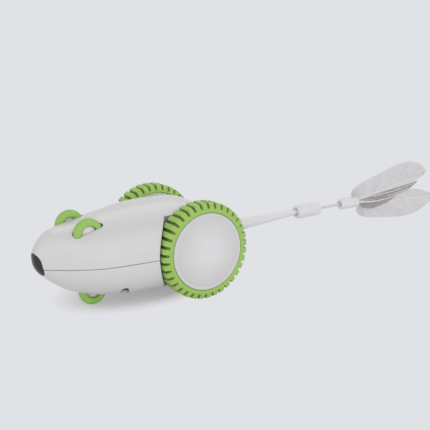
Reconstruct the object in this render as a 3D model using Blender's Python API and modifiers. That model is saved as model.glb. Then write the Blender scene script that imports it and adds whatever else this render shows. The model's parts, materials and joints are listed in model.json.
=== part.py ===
"""Automatic feather cat toy: a mouse-shaped rolling body with a feathered tail.

+X is the toy's left side, -Y its nose, +Y its feathers and +Z is up. The origin is on
the floor, midway along the toy. Every reach is counted from the drive axle.
"""

import math

import bmesh
import bpy
from mathutils import Matrix, Vector

MM = 0.001
SIDES = ((1, "left"), (-1, "right"))

# Fits and cutters
GAP = 0.3 * MM
SEAM_GAP = 0.3 * MM
OVERRUN = 3.0 * MM
MERGE = 0.01 * MM

# Overall reach in front of and behind the drive axle
NOSE_REACH = 119.3 * MM
TAIL_REACH = 288.0 * MM
AXLE_Y = (NOSE_REACH - TAIL_REACH) / 2

# Body shells
LENS_PROUD = 0.4 * MM
BODY_NOSE = NOSE_REACH - LENS_PROUD
BODY_REAR = 36.0 * MM
BODY_HALF_WIDTH = 43.4 * MM
BODY_TOP = 35.0 * MM
BODY_BELLY = 31.6 * MM
WALL = 1.8 * MM
SECTION_POWER = 2.4
BELLY_FLAT_Z = 7.6 * MM
FORM_SIDES = 22
FORM_STEPS = 2
HOLLOW_SIDES = 14
HOLLOW_STEPS = 1
SMOOTH_ANGLE = math.radians(35)

# Rows of reach, half width, crown height and belly depth, as shares of the sizes above.
# Heights and depths count from the seam. The front rows run from the nose tip to the axle.
FRONT_SHARES = (
    (1.000, 0.000, 0.214, -0.237),
    (0.993, 0.090, 0.378, -0.046),
    (0.963, 0.189, 0.531, 0.152),
    (0.892, 0.353, 0.711, 0.415),
    (0.807, 0.544, 0.771, 0.633),
    (0.690, 0.747, 0.817, 0.794),
    (0.589, 0.843, 0.860, 0.880),
    (0.446, 0.926, 0.929, 0.953),
    (0.311, 0.982, 0.980, 0.991),
    (0.151, 1.000, 1.000, 1.000),
    (0.000, 0.982, 0.971, 0.987),
)
REAR_SHARES = (
    (0.333, 0.899, 0.854, 0.902),
    (0.611, 0.751, 0.669, 0.722),
    (0.833, 0.535, 0.429, 0.456),
    (0.961, 0.276, 0.206, 0.222),
    (1.000, 0.000, 0.000, 0.000),
)

# Big wheels
WHEEL_R = 37.0 * MM
WHEEL_INSET = 4.3 * MM
WHEEL_X = BODY_HALF_WIDTH - WHEEL_INSET
TYRE_HALF_WIDTH = 8.3 * MM
CROWN_HALF_WIDTH = 5.5 * MM
RIM_R = 31.0 * MM
RIM_WALL = 2.0 * MM
TYRE_LIP_R = 29.7 * MM
TYRE_LIP_WIDTH = 1.3 * MM
LUG_HEIGHT = 2.6 * MM
LUG_COUNT = 36
LUG_SHARE = 0.62
SHOULDER_WIDTH_SHARE = 0.62
SHOULDER_DROP_SHARE = 0.34
RIM_DISC = 1.8 * MM
RIM_BOSS_R = 5.0 * MM
RIM_BOSS_END = 3.0 * MM
RIM_INSET = 0.8 * MM
CAP_DOME = 1.6 * MM
CAP_RING_WIDTH = 2.4 * MM
CAP_PLUG = 1.2 * MM
WHEEL_STEPS = 24

# Wheel arches
ARCH_GAP = 1.2 * MM
ARCH_R = WHEEL_R + ARCH_GAP
ARCH_SIDE_GAP = 1.0 * MM
ARCH_X = WHEEL_X - TYRE_HALF_WIDTH - ARCH_SIDE_GAP
ARCH_WALL = 1.6 * MM
ARCH_SIDES = 28

# Small wheels: one roller under the nose and two ears
SMALL_R = 11.6 * MM
SMALL_SECTION_R = 3.55 * MM
SMALL_BORE_R = 6.4 * MM
SMALL_SECTION_POINTS = 7
SMALL_STEPS = 16
SMALL_HUB_STEPS = 12
SMALL_HUB_EDGE = 1.3 * MM
SMALL_HUB_DOME = 2.3 * MM
SMALL_AXLE_R = 1.0 * MM
SMALL_BOSS_R = 2.6 * MM
SMALL_BOSS_GAP = 0.5 * MM
SLOT_SIDE_GAP = 0.75 * MM
SLOT_END_GAP = 1.0 * MM
SLOT_WALL = 1.4 * MM
SMALL_AXLE_BITE = 3.0 * MM
ROLLER_SHARE = 0.62
ROLLER_Y = -ROLLER_SHARE * NOSE_REACH
SLOT_REACH = SMALL_R + SLOT_END_GAP + SLOT_WALL
EAR_X = 16.0 * MM
EAR_SHARE = 0.684
EAR_Y = -EAR_SHARE * NOSE_REACH
EAR_Z = 59.9 * MM

# Nose lens, an oval patch of the body's own tip
LENS_HALF_WIDTH = 7.2 * MM
LENS_HALF_HEIGHT = 8.9 * MM
LENS_Z = 40.2 * MM
LENS_TILT = math.radians(13)
LENS_DEPTH = 7.5 * MM
WINDOW_SHARE = 0.72
LENS_SIDES = 20
SENSOR_R = 1.5 * MM
SENSOR_FLANGE_R = 1.9 * MM
SENSOR_FLANGE = 1.0 * MM
SENSOR_X = 2.6 * MM
SENSOR_Z = 41.0 * MM
SENSOR_WALL_INSET = 15.3 * MM
SENSOR_WALL_Y = SENSOR_WALL_INSET - NOSE_REACH
SENSOR_WALL = 2.0 * MM
SENSOR_WALL_HALF = 8.0 * MM
SENSOR_REACH = 4.6 * MM

# Batteries, laid lengthwise in the belly, and their door
BATTERY_R = 5.25 * MM
BATTERY_LENGTH = 44.5 * MM
BATTERY_NUB_R = 1.9 * MM
BATTERY_NUB = 0.8 * MM
BATTERY_COUNT = 3
BATTERY_PITCH = 11.2 * MM
CONTACT_SPACE = 2.0 * MM
CONTACT_THICK = 0.4 * MM
CONTACT_HEIGHT = 8.0 * MM
CONTACT_DIMPLE_R = 2.2 * MM
DOOR_THICK = 2.4 * MM
DOOR_LEDGE = 1.4 * MM
DOOR_CORNER = 3.0 * MM
BOX_WALL = 1.2 * MM
BOX_ROOF = 1.4 * MM
BOX_ROLLER_GAP = 3.1 * MM
BOX_HALF_LENGTH = BATTERY_LENGTH / 2 + CONTACT_SPACE + DOOR_LEDGE + BOX_WALL
BATTERY_Y = ROLLER_Y + SLOT_REACH + BOX_ROLLER_GAP + BOX_HALF_LENGTH
DOOR_TAB_HALF = 4.2 * MM
DOOR_TAB_REACH = 8.0 * MM
DOOR_TAB_CORNER = 2.0 * MM
DOOR_SCREW_INSET = 4.2 * MM
DOOR_SCREW_LENGTH = 9.0 * MM
GRIP_RIBS = 5
GRIP_RIB_PITCH = 2.2 * MM
GRIP_RIB_WIDTH = 0.9 * MM
GRIP_RIB_HALF = 8.0 * MM
GRIP_RIB_DEPTH = 0.5 * MM
GRIP_INSET = 5.0 * MM

# Screws
SCREW_R = 1.25 * MM
SCREW_HEAD_R = 2.4 * MM
SCREW_HEAD = 1.8 * MM
SCREW_LENGTH = 20.0 * MM
SCREW_SEAT_Z = 24.0 * MM
SCREW_RECESS_R = 3.2 * MM
POST_WALL = 1.2 * MM
SCREW_SIDES = 8
FRONT_POST_X = 21.0 * MM
FRONT_POST_Y = -58.0 * MM
REAR_POST_X = 18.5 * MM
REAR_POST_Y = 20.5 * MM
POST_SIDES = 10

# Gears: the wheel's gear, an idler with two gears on one piece, and the motor pinion
MODULE = 1.0 * MM
PRESSURE = math.radians(20)
WHEEL_TEETH = 22
IDLER_BIG_TEETH = 22
IDLER_SMALL_TEETH = 8
PINION_TEETH = 8
SHIFT_SHARE = 0.45
ADDENDUM_SHARE = 0.8
ROOT_SHARE = 1.25
BACKLASH = 0.16 * MM
IDLER_ANGLE = math.radians(163.5)
MOTOR_ANGLE = math.radians(190)
IDLER_BIG_WIDTH = 2.6 * MM
GEAR_STEP_GAP = 0.5 * MM
WHEEL_GEAR_WIDTH = 3.2 * MM
IDLER_R = 1.0 * MM
AXLE_R = 2.0 * MM
AXLE_BORE_R = 1.1 * MM
AXLE_BORE_DEPTH = 7.0 * MM
AXLE_BITE = 0.4 * MM
MOTOR_SHAFT_R = 0.75 * MM
MOTOR_SHAFT_BITE = 3.0 * MM
BORE_SIDES = 8

# Gearbox cases, motors and axle bushes
CASE_PLATE = 1.4 * MM
CASE_WALL = 1.4 * MM
CASE_GEAR_GAP = 0.8 * MM
CASE_ARC_POINTS = 12
BUSH_WALL = 1.1 * MM
BUSH_FLANGE = 1.2 * MM
BUSH_FLANGE_THICK = 1.0 * MM
BUSH_PROUD = 0.7 * MM
BUSH_IN_X = ARCH_X - ARCH_WALL - GAP
CASE_COVER_X = BUSH_IN_X - BUSH_FLANGE_THICK - GAP - CASE_PLATE
WHEEL_GEAR_X = CASE_COVER_X - CASE_GEAR_GAP - WHEEL_GEAR_WIDTH
GEAR_X = WHEEL_GEAR_X - GEAR_STEP_GAP - IDLER_BIG_WIDTH
CASE_X = GEAR_X - CASE_GEAR_GAP - CASE_PLATE
MOTOR_R = 7.5 * MM
MOTOR_FLAT_HALF = 6.0 * MM
MOTOR_X = 1.0 * MM
MOTOR_BOSS_R = 2.4 * MM
MOTOR_TERMINAL_R = 2.8 * MM
RIB = 1.6 * MM
MOTOR_RIB_HALF = 12.0 * MM
WHEEL_SCREW_R = 0.8 * MM
WHEEL_SCREW_LENGTH = 6.5 * MM
WHEEL_SCREW_HEAD_R = 3.4 * MM

# Circuit board and power switch
BOARD_Z = 28.0 * MM
BOARD_THICK = 1.6 * MM
BOARD_HALF_WIDTH = 14.0 * MM
BOARD_INSET = 20.3 * MM
BOARD_FRONT_Y = BOARD_INSET - NOSE_REACH
BOARD_BACK_Y = -49.0 * MM
BOARD_LENGTH = BOARD_BACK_Y - BOARD_FRONT_Y
STANDOFF_R = 2.2 * MM
STANDOFF_PEG_R = 0.9 * MM
STANDOFF_INSET = 3.0 * MM
STANDOFF_SIDES = 8
CHIP = (4.5 * MM, 8.0 * MM, 1.8 * MM)
CHIP_SHARE = 0.54
CHIP_Y = BOARD_FRONT_Y + CHIP_SHARE * BOARD_LENGTH
CAPACITOR_R = 2.5 * MM
CAPACITOR_HEIGHT = 6.0 * MM
CAPACITOR_X = 8.0 * MM
CAPACITOR_SHARE = 0.26
CAPACITOR_Y = BOARD_FRONT_Y + CAPACITOR_SHARE * BOARD_LENGTH
PLUG_BLOCK = (5.0 * MM, 2.2 * MM, 4.5 * MM)
PLUG_INSET = 4.5 * MM
PLUG_BLOCK_Y = BOARD_BACK_Y - PLUG_INSET
SWITCH_X = 11.5 * MM
SWITCH_HALF = (3.0 * MM, 5.0 * MM)
SWITCH_BOX_GAP = 0.7 * MM
SWITCH_HEIGHT = 4.0 * MM
SWITCH_Z = 10.4 * MM
KNOB_HALF = (2.2 * MM, 2.6 * MM)
KNOB_TRAVEL = 3.0 * MM
SWITCH_Y = BATTERY_Y + BOX_HALF_LENGTH + SWITCH_BOX_GAP + SWITCH_HALF[1] - KNOB_TRAVEL / 2
KNOB_THICK = 1.3 * MM
KNOB_STEM_HALF = 0.9 * MM
KNOB_STEM = 2.4 * MM
KNOB_INSET = 0.4 * MM
KNOB_RIDGES = 3
KNOB_RIDGE_PITCH = 1.5 * MM
KNOB_RIDGE = 0.5 * MM

# Tail: a tapered stalk, then the pull-off end with its sleeve, wire, ferrule and feathers
STALK_ROOT_R = 6.1 * MM
STALK_TIP_R = 2.5 * MM
STALK_TIP_Y = 116.0 * MM
STALK_COLLAR_R = 8.2 * MM
STALK_COLLAR = 2.0 * MM
STALK_COLLAR_Y = 29.0 * MM
STALK_STUB_R = 4.6 * MM
STALK_STUB = 4.0 * MM
STALK_PEG_R = 2.1 * MM
STALK_PEG = 13.0 * MM
STALK_RINGS = 4
STALK_TAPER_POWER = 1.15
TAIL_STEPS = 12
TAIL_DROOP = math.radians(1.9)
SLEEVE_Y = 117.6 * MM
SLEEVE_LENGTH = 29.4 * MM
SLEEVE_R = 5.4 * MM
SLEEVE_MOUTH_R = 3.7 * MM
SLEEVE_MOUTH = 2.0 * MM
SLEEVE_ROUND = 2.6 * MM
WIRE_R = 0.95 * MM
WIRE_BITE = 6.0 * MM
FERRULE_Y = 166.0 * MM
FERRULE_LENGTH = 23.5 * MM
FERRULE_R = 4.5 * MM
FERRULE_MOUTH_R = 3.0 * MM
FERRULE_MOUTH = 3.0 * MM
FERRULE_ROUND = 1.6 * MM
QUILL_BORE_R = 2.8 * MM
QUILL_BITE = 6.0 * MM
QUILL_R = 0.7 * MM
QUILL_OFFSET = 1.7 * MM
QUILL_TIP_R = 0.3 * MM
VANE_HALF_THICK = 0.3 * MM
VANE_CUP = 2.0 * MM
VANE_RISE = 4.0
ROUND_STEPS = 3
TURN_STEPS = 12

# Feathers. A tip lies across, behind and above the ferrule's end, and widths lie below
# and above the quill. The lower feather ends the toy.
UPPER_TIP = (2.0 * MM, 82.0 * MM, 14.5 * MM)
UPPER_WIDTHS = (3.0 * MM, 15.0 * MM)
UPPER_LEAN = 0.10
UPPER_BOW = 4.0 * MM
LOWER_TIP = (-2.0 * MM, TAIL_REACH - FERRULE_Y - FERRULE_LENGTH, -11.5 * MM)
LOWER_WIDTHS = (15.0 * MM, 9.0 * MM)
LOWER_LEAN = -0.15
LOWER_BOW = 1.0 * MM
NEAR_TIP = (9.0 * MM, 48.0 * MM, -4.0 * MM)
NEAR_WIDTHS = (6.0 * MM, 4.0 * MM)
NEAR_LEAN = 0.5
NEAR_BOW = -1.0 * MM
FAR_TIP = (-9.0 * MM, 74.0 * MM, 6.0 * MM)
FAR_WIDTHS = (6.5 * MM, 6.5 * MM)
FAR_LEAN = -0.9
FAR_BOW = 1.0 * MM
FEATHERS = (
    ("feather_upper", (0, 1), UPPER_TIP, UPPER_WIDTHS, UPPER_LEAN, UPPER_BOW),
    ("feather_lower", (0, -1), LOWER_TIP, LOWER_WIDTHS, LOWER_LEAN, LOWER_BOW),
    ("feather_near", (1, 0), NEAR_TIP, NEAR_WIDTHS, NEAR_LEAN, NEAR_BOW),
    ("feather_far", (-1, 0), FAR_TIP, FAR_WIDTHS, FAR_LEAN, FAR_BOW),
)
VANE_SHARES = (
    (0.00, 0.00),
    (0.10, 0.00),
    (0.16, 0.25),
    (0.28, 0.55),
    (0.45, 0.82),
    (0.65, 1.00),
    (0.82, 0.95),
    (0.93, 0.66),
    (1.00, 0.12),
)

# Points round a vane's section, as shares of its width, of the blade's and of the quill's thickness
VANE_RING_SHARES = (
    (-1.0, 0.0, 0.0), (-0.5, 1.0, 0.0), (0.0, 0.0, 1.0), (0.5, 1.0, 0.0),
    (1.0, 0.0, 0.0), (0.5, -1.0, 0.0), (0.0, 0.0, -1.0), (-0.5, -1.0, 0.0),
)

# Colours as linear red, green and blue, with roughness and metallic values
WHITE = ((0.78, 0.78, 0.80), 0.35, 0.0)
GREEN = ((0.27, 0.58, 0.09), 0.55, 0.0)
SILVER = ((0.58, 0.58, 0.60), 0.30, 0.3)
DARK = ((0.03, 0.02, 0.02), 0.08, 0.0)
STEEL = ((0.60, 0.60, 0.62), 0.30, 1.0)
BRASS = ((0.70, 0.52, 0.22), 0.35, 1.0)
CREAM = ((0.80, 0.76, 0.62), 0.45, 0.0)
BOARD_GREEN = ((0.02, 0.20, 0.07), 0.50, 0.0)
CELL_BLUE = ((0.06, 0.12, 0.35), 0.35, 0.2)
BLACK = ((0.02, 0.02, 0.02), 0.45, 0.0)
TAIL_GREY = ((0.60, 0.60, 0.61), 0.50, 0.0)
FEATHER_GREY = ((0.62, 0.61, 0.61), 0.80, 0.0)

# Turned pieces lie along X or Y: local Z becomes the world axis
ALONG_X = Matrix(((0, 0, 1, 0), (1, 0, 0, 0), (0, 1, 0, 0), (0, 0, 0, 1)))
ALONG_Y = Matrix(((0, 1, 0, 0), (0, 0, 1, 0), (1, 0, 0, 0), (0, 0, 0, 1)))
UPRIGHT = Matrix.Identity(4)


# Scene and modelling helpers

def clear_scene():
    """Empty the scene and add one collection for the parts and one for the cutters."""
    for obj in list(bpy.data.objects):
        bpy.data.objects.remove(obj, do_unlink=True)
    for name in ("feather_cat_toy", "cutters"):
        bpy.context.scene.collection.children.link(bpy.data.collections.new(name))


def keep(obj, finish, smooth=True):
    """Show an object as a part, with a material of its own."""
    colour, roughness, metallic = finish
    material = bpy.data.materials.new(obj.name)
    material.use_nodes = True
    shader = material.node_tree.nodes["Principled BSDF"]
    shader.inputs["Base Color"].default_value = (*colour, 1.0)
    shader.inputs["Roughness"].default_value = roughness
    shader.inputs["Metallic"].default_value = metallic
    obj.data.materials.append(material)
    if smooth and obj.data.polygons:
        obj.data.shade_smooth()
        obj.data.set_sharp_from_angle(angle=SMOOTH_ANGLE)
    bpy.data.collections["feather_cat_toy"].objects.link(obj)
    return obj


def tool(obj):
    """File an object as a cutter, which isn't part of the toy."""
    obj.hide_render = True
    obj.display_type = "WIRE"
    bpy.data.collections["cutters"].objects.link(obj)
    return obj


def combine(target, operation, *tools):
    """Cut, join or intersect a target with each tool in turn."""
    for piece in tools:
        modifier = target.modifiers.new(piece.name, "BOOLEAN")
        modifier.operation = operation
        modifier.object = piece
        modifier.solver = "EXACT"
    return target


def cut(target, *tools):
    """Cut each tool out of a target."""
    return combine(target, "DIFFERENCE", *tools)


def place(x, y, z):
    """A point at a reach behind the drive axle."""
    return Vector((x, AXLE_Y + y, z))


def box(name, low, high, corner=0.0):
    """A box between two corners, whose upright edges can be rounded."""
    origin = (Vector(low) + Vector(high)) / 2
    bm = bmesh.new()
    bmesh.ops.create_cube(bm, size=1.0)
    bmesh.ops.scale(bm, vec=Vector(high) - Vector(low), verts=bm.verts)
    if corner:
        upright = [edge for edge in bm.edges if abs(edge.verts[0].co.z - edge.verts[1].co.z) > MERGE]
        bmesh.ops.bevel(bm, geom=upright, offset=corner, segments=ROUND_STEPS, profile=0.5, affect="EDGES")
    mesh = bpy.data.meshes.new(name)
    bm.to_mesh(mesh)
    bm.free()
    obj = bpy.data.objects.new(name, mesh)
    obj.location = origin
    return obj


def rod(name, start, end, radius, frame=UPRIGHT, sides=POST_SIDES, shape=(1.0, 1.0)):
    """A cylinder from a start to an end point, which lie along its frame's Z axis."""
    start = Vector(start)
    length = (Vector(end) - start).length
    bm = bmesh.new()
    bmesh.ops.create_cone(
        bm, cap_ends=True, segments=sides, radius1=radius, radius2=radius, depth=length)
    bmesh.ops.scale(bm, vec=(*shape, 1.0), verts=bm.verts)
    mesh = bpy.data.meshes.new(name)
    bm.to_mesh(mesh)
    bm.free()
    obj = bpy.data.objects.new(name, mesh)
    obj.matrix_world = Matrix.Translation((start + Vector(end)) / 2) @ frame
    return obj


def turned(name, profile, centre, frame=ALONG_X, steps=TURN_STEPS, closed=False):
    """Turn rows of radius and height, listed down the outer side, about the frame's Z axis."""
    points = [(radius, 0, height) for radius, height in profile]
    edges = [(row, row + 1) for row in range(len(points) - 1)]
    if closed:
        edges.append((len(points) - 1, 0))
    mesh = bpy.data.meshes.new(name)
    mesh.from_pydata(points, edges, [])
    obj = bpy.data.objects.new(name, mesh)
    obj.matrix_world = Matrix.Translation(centre) @ frame
    screw = obj.modifiers.new("turn", "SCREW")
    screw.angle = math.tau
    screw.steps = steps
    screw.render_steps = steps
    screw.use_merge_vertices = True
    screw.merge_threshold = MERGE
    screw.use_smooth_shade = True
    return obj


def facing(profile, side):
    """The same profile, turned end for end on the right-hand side."""
    if side > 0:
        return list(profile)
    return [(radius, -height) for radius, height in reversed(profile)]


def loft(name, rings, centre):
    """Skin rings of points in order and cap both ends. A ring can shrink to one point."""
    bm = bmesh.new()
    rows = [[bm.verts.new(point - centre) for point in ring] for ring in rings]
    for first, second in zip(rows, rows[1:]):
        count = max(len(first), len(second))
        for side in range(count):
            after = (side + 1) % count
            corners = [first[side % len(first)], first[after % len(first)]]
            corners += [second[after % len(second)], second[side % len(second)]]
            bm.faces.new(list(dict.fromkeys(corners)))
    for end in (rows[0], rows[-1]):
        if len(end) > 1:
            bm.faces.new(end)
    bmesh.ops.triangulate(bm, faces=bm.faces)
    bmesh.ops.recalc_face_normals(bm, faces=bm.faces)
    mesh = bpy.data.meshes.new(name)
    bm.to_mesh(mesh)
    bm.free()
    obj = bpy.data.objects.new(name, mesh)
    obj.location = centre
    return obj


def plate(name, outlines, low, high, centre):
    """Closed outlines in the YZ plane, filled and given a thickness from low to high in X."""
    curve = bpy.data.curves.new(name, "CURVE")
    curve.dimensions = "2D"
    curve.fill_mode = "BOTH"
    curve.extrude = (high - low) / 2
    for outline in outlines:
        spline = curve.splines.new("POLY")
        spline.points.add(len(outline) - 1)
        for point, (y, z) in zip(spline.points, outline):
            point.co = (y, z, 0, 1)
        spline.use_cyclic_u = True
    flat = bpy.data.objects.new(name, curve)
    bpy.context.scene.collection.objects.link(flat)
    evaluated = flat.evaluated_get(bpy.context.evaluated_depsgraph_get())
    mesh = bpy.data.meshes.new_from_object(evaluated)
    bpy.data.objects.remove(flat, do_unlink=True)
    bpy.data.curves.remove(curve)
    bm = bmesh.new()
    bm.from_mesh(mesh)
    bmesh.ops.remove_doubles(bm, verts=bm.verts, dist=MERGE)
    bmesh.ops.translate(bm, vec=(0, 0, (low + high) / 2), verts=bm.verts)
    bmesh.ops.recalc_face_normals(bm, faces=bm.faces)
    bm.to_mesh(mesh)
    bm.free()
    obj = bpy.data.objects.new(name, mesh)
    obj.matrix_world = Matrix.Translation(centre) @ ALONG_X
    return obj


def circle(radius, count, centre=(0, 0)):
    """Points round a circle."""
    step = math.tau / count
    return [(centre[0] + radius * math.cos(i * step),
             centre[1] + radius * math.sin(i * step)) for i in range(count)]


def hull(points):
    """The convex outline round a set of points, by a monotone chain."""
    points = sorted(set(points))

    def chain(row):
        kept = []
        for point in row:
            while len(kept) > 1:
                (ax, ay), (bx, by) = kept[-2], kept[-1]
                if (bx - ax) * (point[1] - ay) > (by - ay) * (point[0] - ax):
                    break
                kept.pop()
            kept.append(point)
        return kept[:-1]

    return chain(points) + chain(reversed(points))


def smooth_rows(rows, steps):
    """Rows of numbers with more rows between them, on a smooth curve through all of them."""
    padded = [rows[0], *rows, rows[-1]]
    result = []
    for before, start, end, after in zip(padded, padded[1:], padded[2:], padded[3:]):
        for step in range(steps):
            t = step / steps
            result.append(tuple(
                b + t * (c - a) / 2 + t * t * (a - 2.5 * b + 2 * c - d / 2)
                + t ** 3 * (1.5 * (b - c) + (d - a) / 2)
                for a, b, c, d in zip(before, start, end, after)))
    result.append(tuple(rows[-1]))
    return result


def facet_r(radius, count):
    """Radius of a polygon's corners whose flats lie at a given radius."""
    return radius / math.cos(math.pi / count)


def oval(radii, power, count):
    """Points round a superellipse with two radii."""
    points = []
    for index in range(count):
        angle = math.tau * index / count
        across, up = math.cos(angle), math.sin(angle)
        points.append((math.copysign(abs(across) ** (2 / power), across) * radii[0],
                       math.copysign(abs(up) ** (2 / power), up) * radii[1]))
    return points


# Body

def body_form(name, inset, sides, steps, forward=0.0):
    """The mouse-shaped solid, or with an inset the space that leaves its wall."""
    rows = [(-row[0], 0.0, *row[1:]) for row in FRONT_SHARES]
    rows += [(0.0, row[0], *row[1:]) for row in REAR_SHARES]
    rings = []
    for front, rear, width, top, belly in smooth_rows(rows, steps):
        y = front * (BODY_NOSE - inset) + rear * (BODY_REAR - inset) - forward
        high = WHEEL_R + top * (BODY_TOP - inset)
        low = WHEEL_R - belly * (BODY_BELLY - inset)
        middle = (high + low) / 2
        half_width = max(width, 0.0) * (BODY_HALF_WIDTH - inset)
        if half_width < MERGE:
            rings.append([place(0, y, middle)])
            continue
        section = oval((half_width, (high - low) / 2), SECTION_POWER, sides)
        rings.append([place(x, y, middle + z) for x, z in section])
    return loft(name, rings, Vector((0, 0, 0)))


def lens_oval(name, half_width, half_height, depth):
    """An oval cylinder that runs from ahead of the nose back to a depth behind the tip."""
    frame = Matrix.Rotation(-LENS_TILT, 4, "X") @ ALONG_Y
    back = place(0, depth - NOSE_REACH, LENS_Z)
    front = back - frame.col[2].to_3d() * (depth + LENS_DEPTH + OVERRUN)
    shape = (half_height / half_width, 1.0)
    return tool(rod(name, front, back, half_width, frame, LENS_SIDES, shape))


def small_wheels():
    """Name and centre of the roller and of the two ears."""
    wheels = [("roller", place(0, ROLLER_Y, SMALL_R))]
    wheels += [(word + "_ear", place(side * EAR_X, EAR_Y, EAR_Z)) for side, word in SIDES]
    return wheels


def slot_half():
    """Half the width of a small wheel's slot."""
    return SMALL_SECTION_R + SLOT_SIDE_GAP


def wheel_slot(name, centre):
    """Cutter for the slot that a small wheel turns in."""
    across = Vector((slot_half(), 0, 0))
    radius = SMALL_R + SLOT_END_GAP
    return tool(rod(name + "_slot", centre - across, centre + across, radius, ALONG_X, SMALL_STEPS))


def wheel_box(name, centre, rise):
    """Walls round a small wheel's slot, out to the skin on the side that it rises from."""
    across = slot_half() + SLOT_WALL
    low = centre - Vector((across, SLOT_REACH, SLOT_REACH))
    high = centre + Vector((across, SLOT_REACH, SLOT_REACH))
    if rise > 0:
        high.z = WHEEL_R + BODY_TOP + OVERRUN
    else:
        low.z = -OVERRUN
    return tool(box(name + "_box", low, high))


def axle_bosses(name, centre):
    """The two bosses that reach in from the slot's sides and carry a small wheel's axle."""
    bosses = []
    face = SMALL_HUB_DOME + SMALL_BOSS_GAP
    for side, word in SIDES:
        start = centre + Vector((side * face, 0, 0))
        end = centre + Vector((side * (slot_half() + SLOT_WALL - GAP), 0, 0))
        bosses.append(tool(rod(f"{name}_{word}_boss", start, end, SMALL_BOSS_R, ALONG_X)))
    return bosses


def small_axle_half():
    """How far a small wheel's axle reaches either side of the wheel."""
    return SMALL_HUB_DOME + SMALL_BOSS_GAP + SMALL_AXLE_BITE


def axle_hole(name, low_x, high_x, centre):
    """Cutter for a small axle's bore."""
    start = Vector((low_x, centre.y, centre.z))
    end = Vector((high_x, centre.y, centre.z))
    return tool(rod(name, start, end, SMALL_AXLE_R + GAP, ALONG_X, BORE_SIDES))


def arches(name, x, radius):
    """A cylinder on each side, from a distance off the middle outwards, about the axle."""
    pieces = []
    for side, word in SIDES:
        start = place(side * x, 0, WHEEL_R)
        end = place(side * (BODY_HALF_WIDTH + OVERRUN), 0, WHEEL_R)
        pieces.append(tool(rod(f"{word}_{name}", start, end, radius, ALONG_X, ARCH_SIDES)))
    return pieces


def post_places():
    """Name and place of the four posts that the shell screws pass through."""
    rows = []
    for side, word in SIDES:
        rows.append((f"front_{word}", side * FRONT_POST_X, FRONT_POST_Y))
        rows.append((f"rear_{word}", side * REAR_POST_X, REAR_POST_Y))
    return rows


def posts():
    """Full-height posts, which the shells' seam divides."""
    radius = SCREW_RECESS_R + POST_WALL
    return [tool(rod(f"{name}_post", place(x, y, -OVERRUN), place(x, y, WHEEL_R + BODY_TOP + OVERRUN),
                     radius)) for name, x, y in post_places()]


def rib(name, low, high):
    """A rib, given by two corners counted from the axle."""
    return tool(box(name, place(*low), place(*high)))


def idler_place():
    """Reach and height of the idler from the wheel axle."""
    distance = MODULE * (WHEEL_TEETH + IDLER_SMALL_TEETH) / 2
    return distance * math.cos(IDLER_ANGLE), distance * math.sin(IDLER_ANGLE)


def motor_place():
    """Reach and height of the motor from the wheel axle."""
    distance = MODULE * (IDLER_BIG_TEETH + PINION_TEETH) / 2
    y, z = idler_place()
    return y + distance * math.cos(MOTOR_ANGLE), z + distance * math.sin(MOTOR_ANGLE)


def case_end_r(teeth, shift):
    """Outer radius of the gearbox case round a gear."""
    return tip_r(teeth, shift) + CASE_GEAR_GAP + CASE_WALL


def battery_half():
    """Half the inner size of the battery compartment across and along the toy."""
    return BATTERY_COUNT * BATTERY_PITCH / 2, BATTERY_LENGTH / 2 + CONTACT_SPACE


def battery_xs():
    """Each battery's distance off the middle."""
    return [(index - (BATTERY_COUNT - 1) / 2) * BATTERY_PITCH for index in range(BATTERY_COUNT)]


def ledge_z():
    """Height of the ledge that the battery door closes against."""
    return BELLY_FLAT_Z + DOOR_THICK + GAP


def battery_z():
    """Height of the batteries' axes."""
    return ledge_z() + GAP + BATTERY_R


def battery_roof_z():
    """Height of the battery compartment's ceiling."""
    return battery_z() + BATTERY_R + GAP


def door_screw_y():
    """Reach of the battery door's screw."""
    return BATTERY_Y + battery_half()[1] + DOOR_LEDGE + DOOR_TAB_REACH - DOOR_SCREW_INSET


def lower_features():
    """Everything that stands inside the lower shell, as solids that its hollow leaves."""
    across, along = battery_half()
    wall = DOOR_LEDGE + BOX_WALL
    motor_y, motor_z = motor_place()
    seat_z = WHEEL_R - case_end_r(WHEEL_TEETH, -SHIFT_SHARE) - GAP
    case_low, case_high = CASE_X + CASE_PLATE, CASE_COVER_X
    name, centre = small_wheels()[0]
    features = [wheel_box(name, centre, -1)]
    features.append(rib("belly_plate", (-BODY_HALF_WIDTH, -BODY_NOSE, -OVERRUN),
                        (BODY_HALF_WIDTH, BODY_REAR, BELLY_FLAT_Z + WALL)))
    features.append(rib("battery_box", (-across - wall, BATTERY_Y - along - wall, -OVERRUN),
                        (across + wall, BATTERY_Y + along + wall, battery_roof_z() + BOX_ROOF)))
    features.append(tool(rod("door_screw_post", place(0, door_screw_y(), 0),
                             place(0, door_screw_y(), BELLY_FLAT_Z + DOOR_THICK + DOOR_SCREW_LENGTH),
                             SCREW_R + GAP + WALL)))
    features.append(rib("motor_rib", (-MOTOR_RIB_HALF, motor_y - RIB / 2, battery_z()),
                        (MOTOR_RIB_HALF, motor_y + RIB / 2, WHEEL_R + motor_z - MOTOR_FLAT_HALF - GAP)))
    for side, word in SIDES:
        low_x, high_x = sorted((side * case_low, side * case_high))
        features.append(rib(f"{word}_case_rib", (low_x, -RIB / 2, 0), (high_x, RIB / 2, seat_z)))
    for x, y in board_posts():
        features.append(tool(rod("board_post", place(x, y, 0), place(x, y, BOARD_Z - GAP), STANDOFF_R,
                                 sides=STANDOFF_SIDES)))
        features.append(tool(rod("board_peg", place(x, y, 0), place(x, y, BOARD_Z + BOARD_THICK + GAP),
                                 STANDOFF_PEG_R, sides=STANDOFF_SIDES)))
    return features


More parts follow.
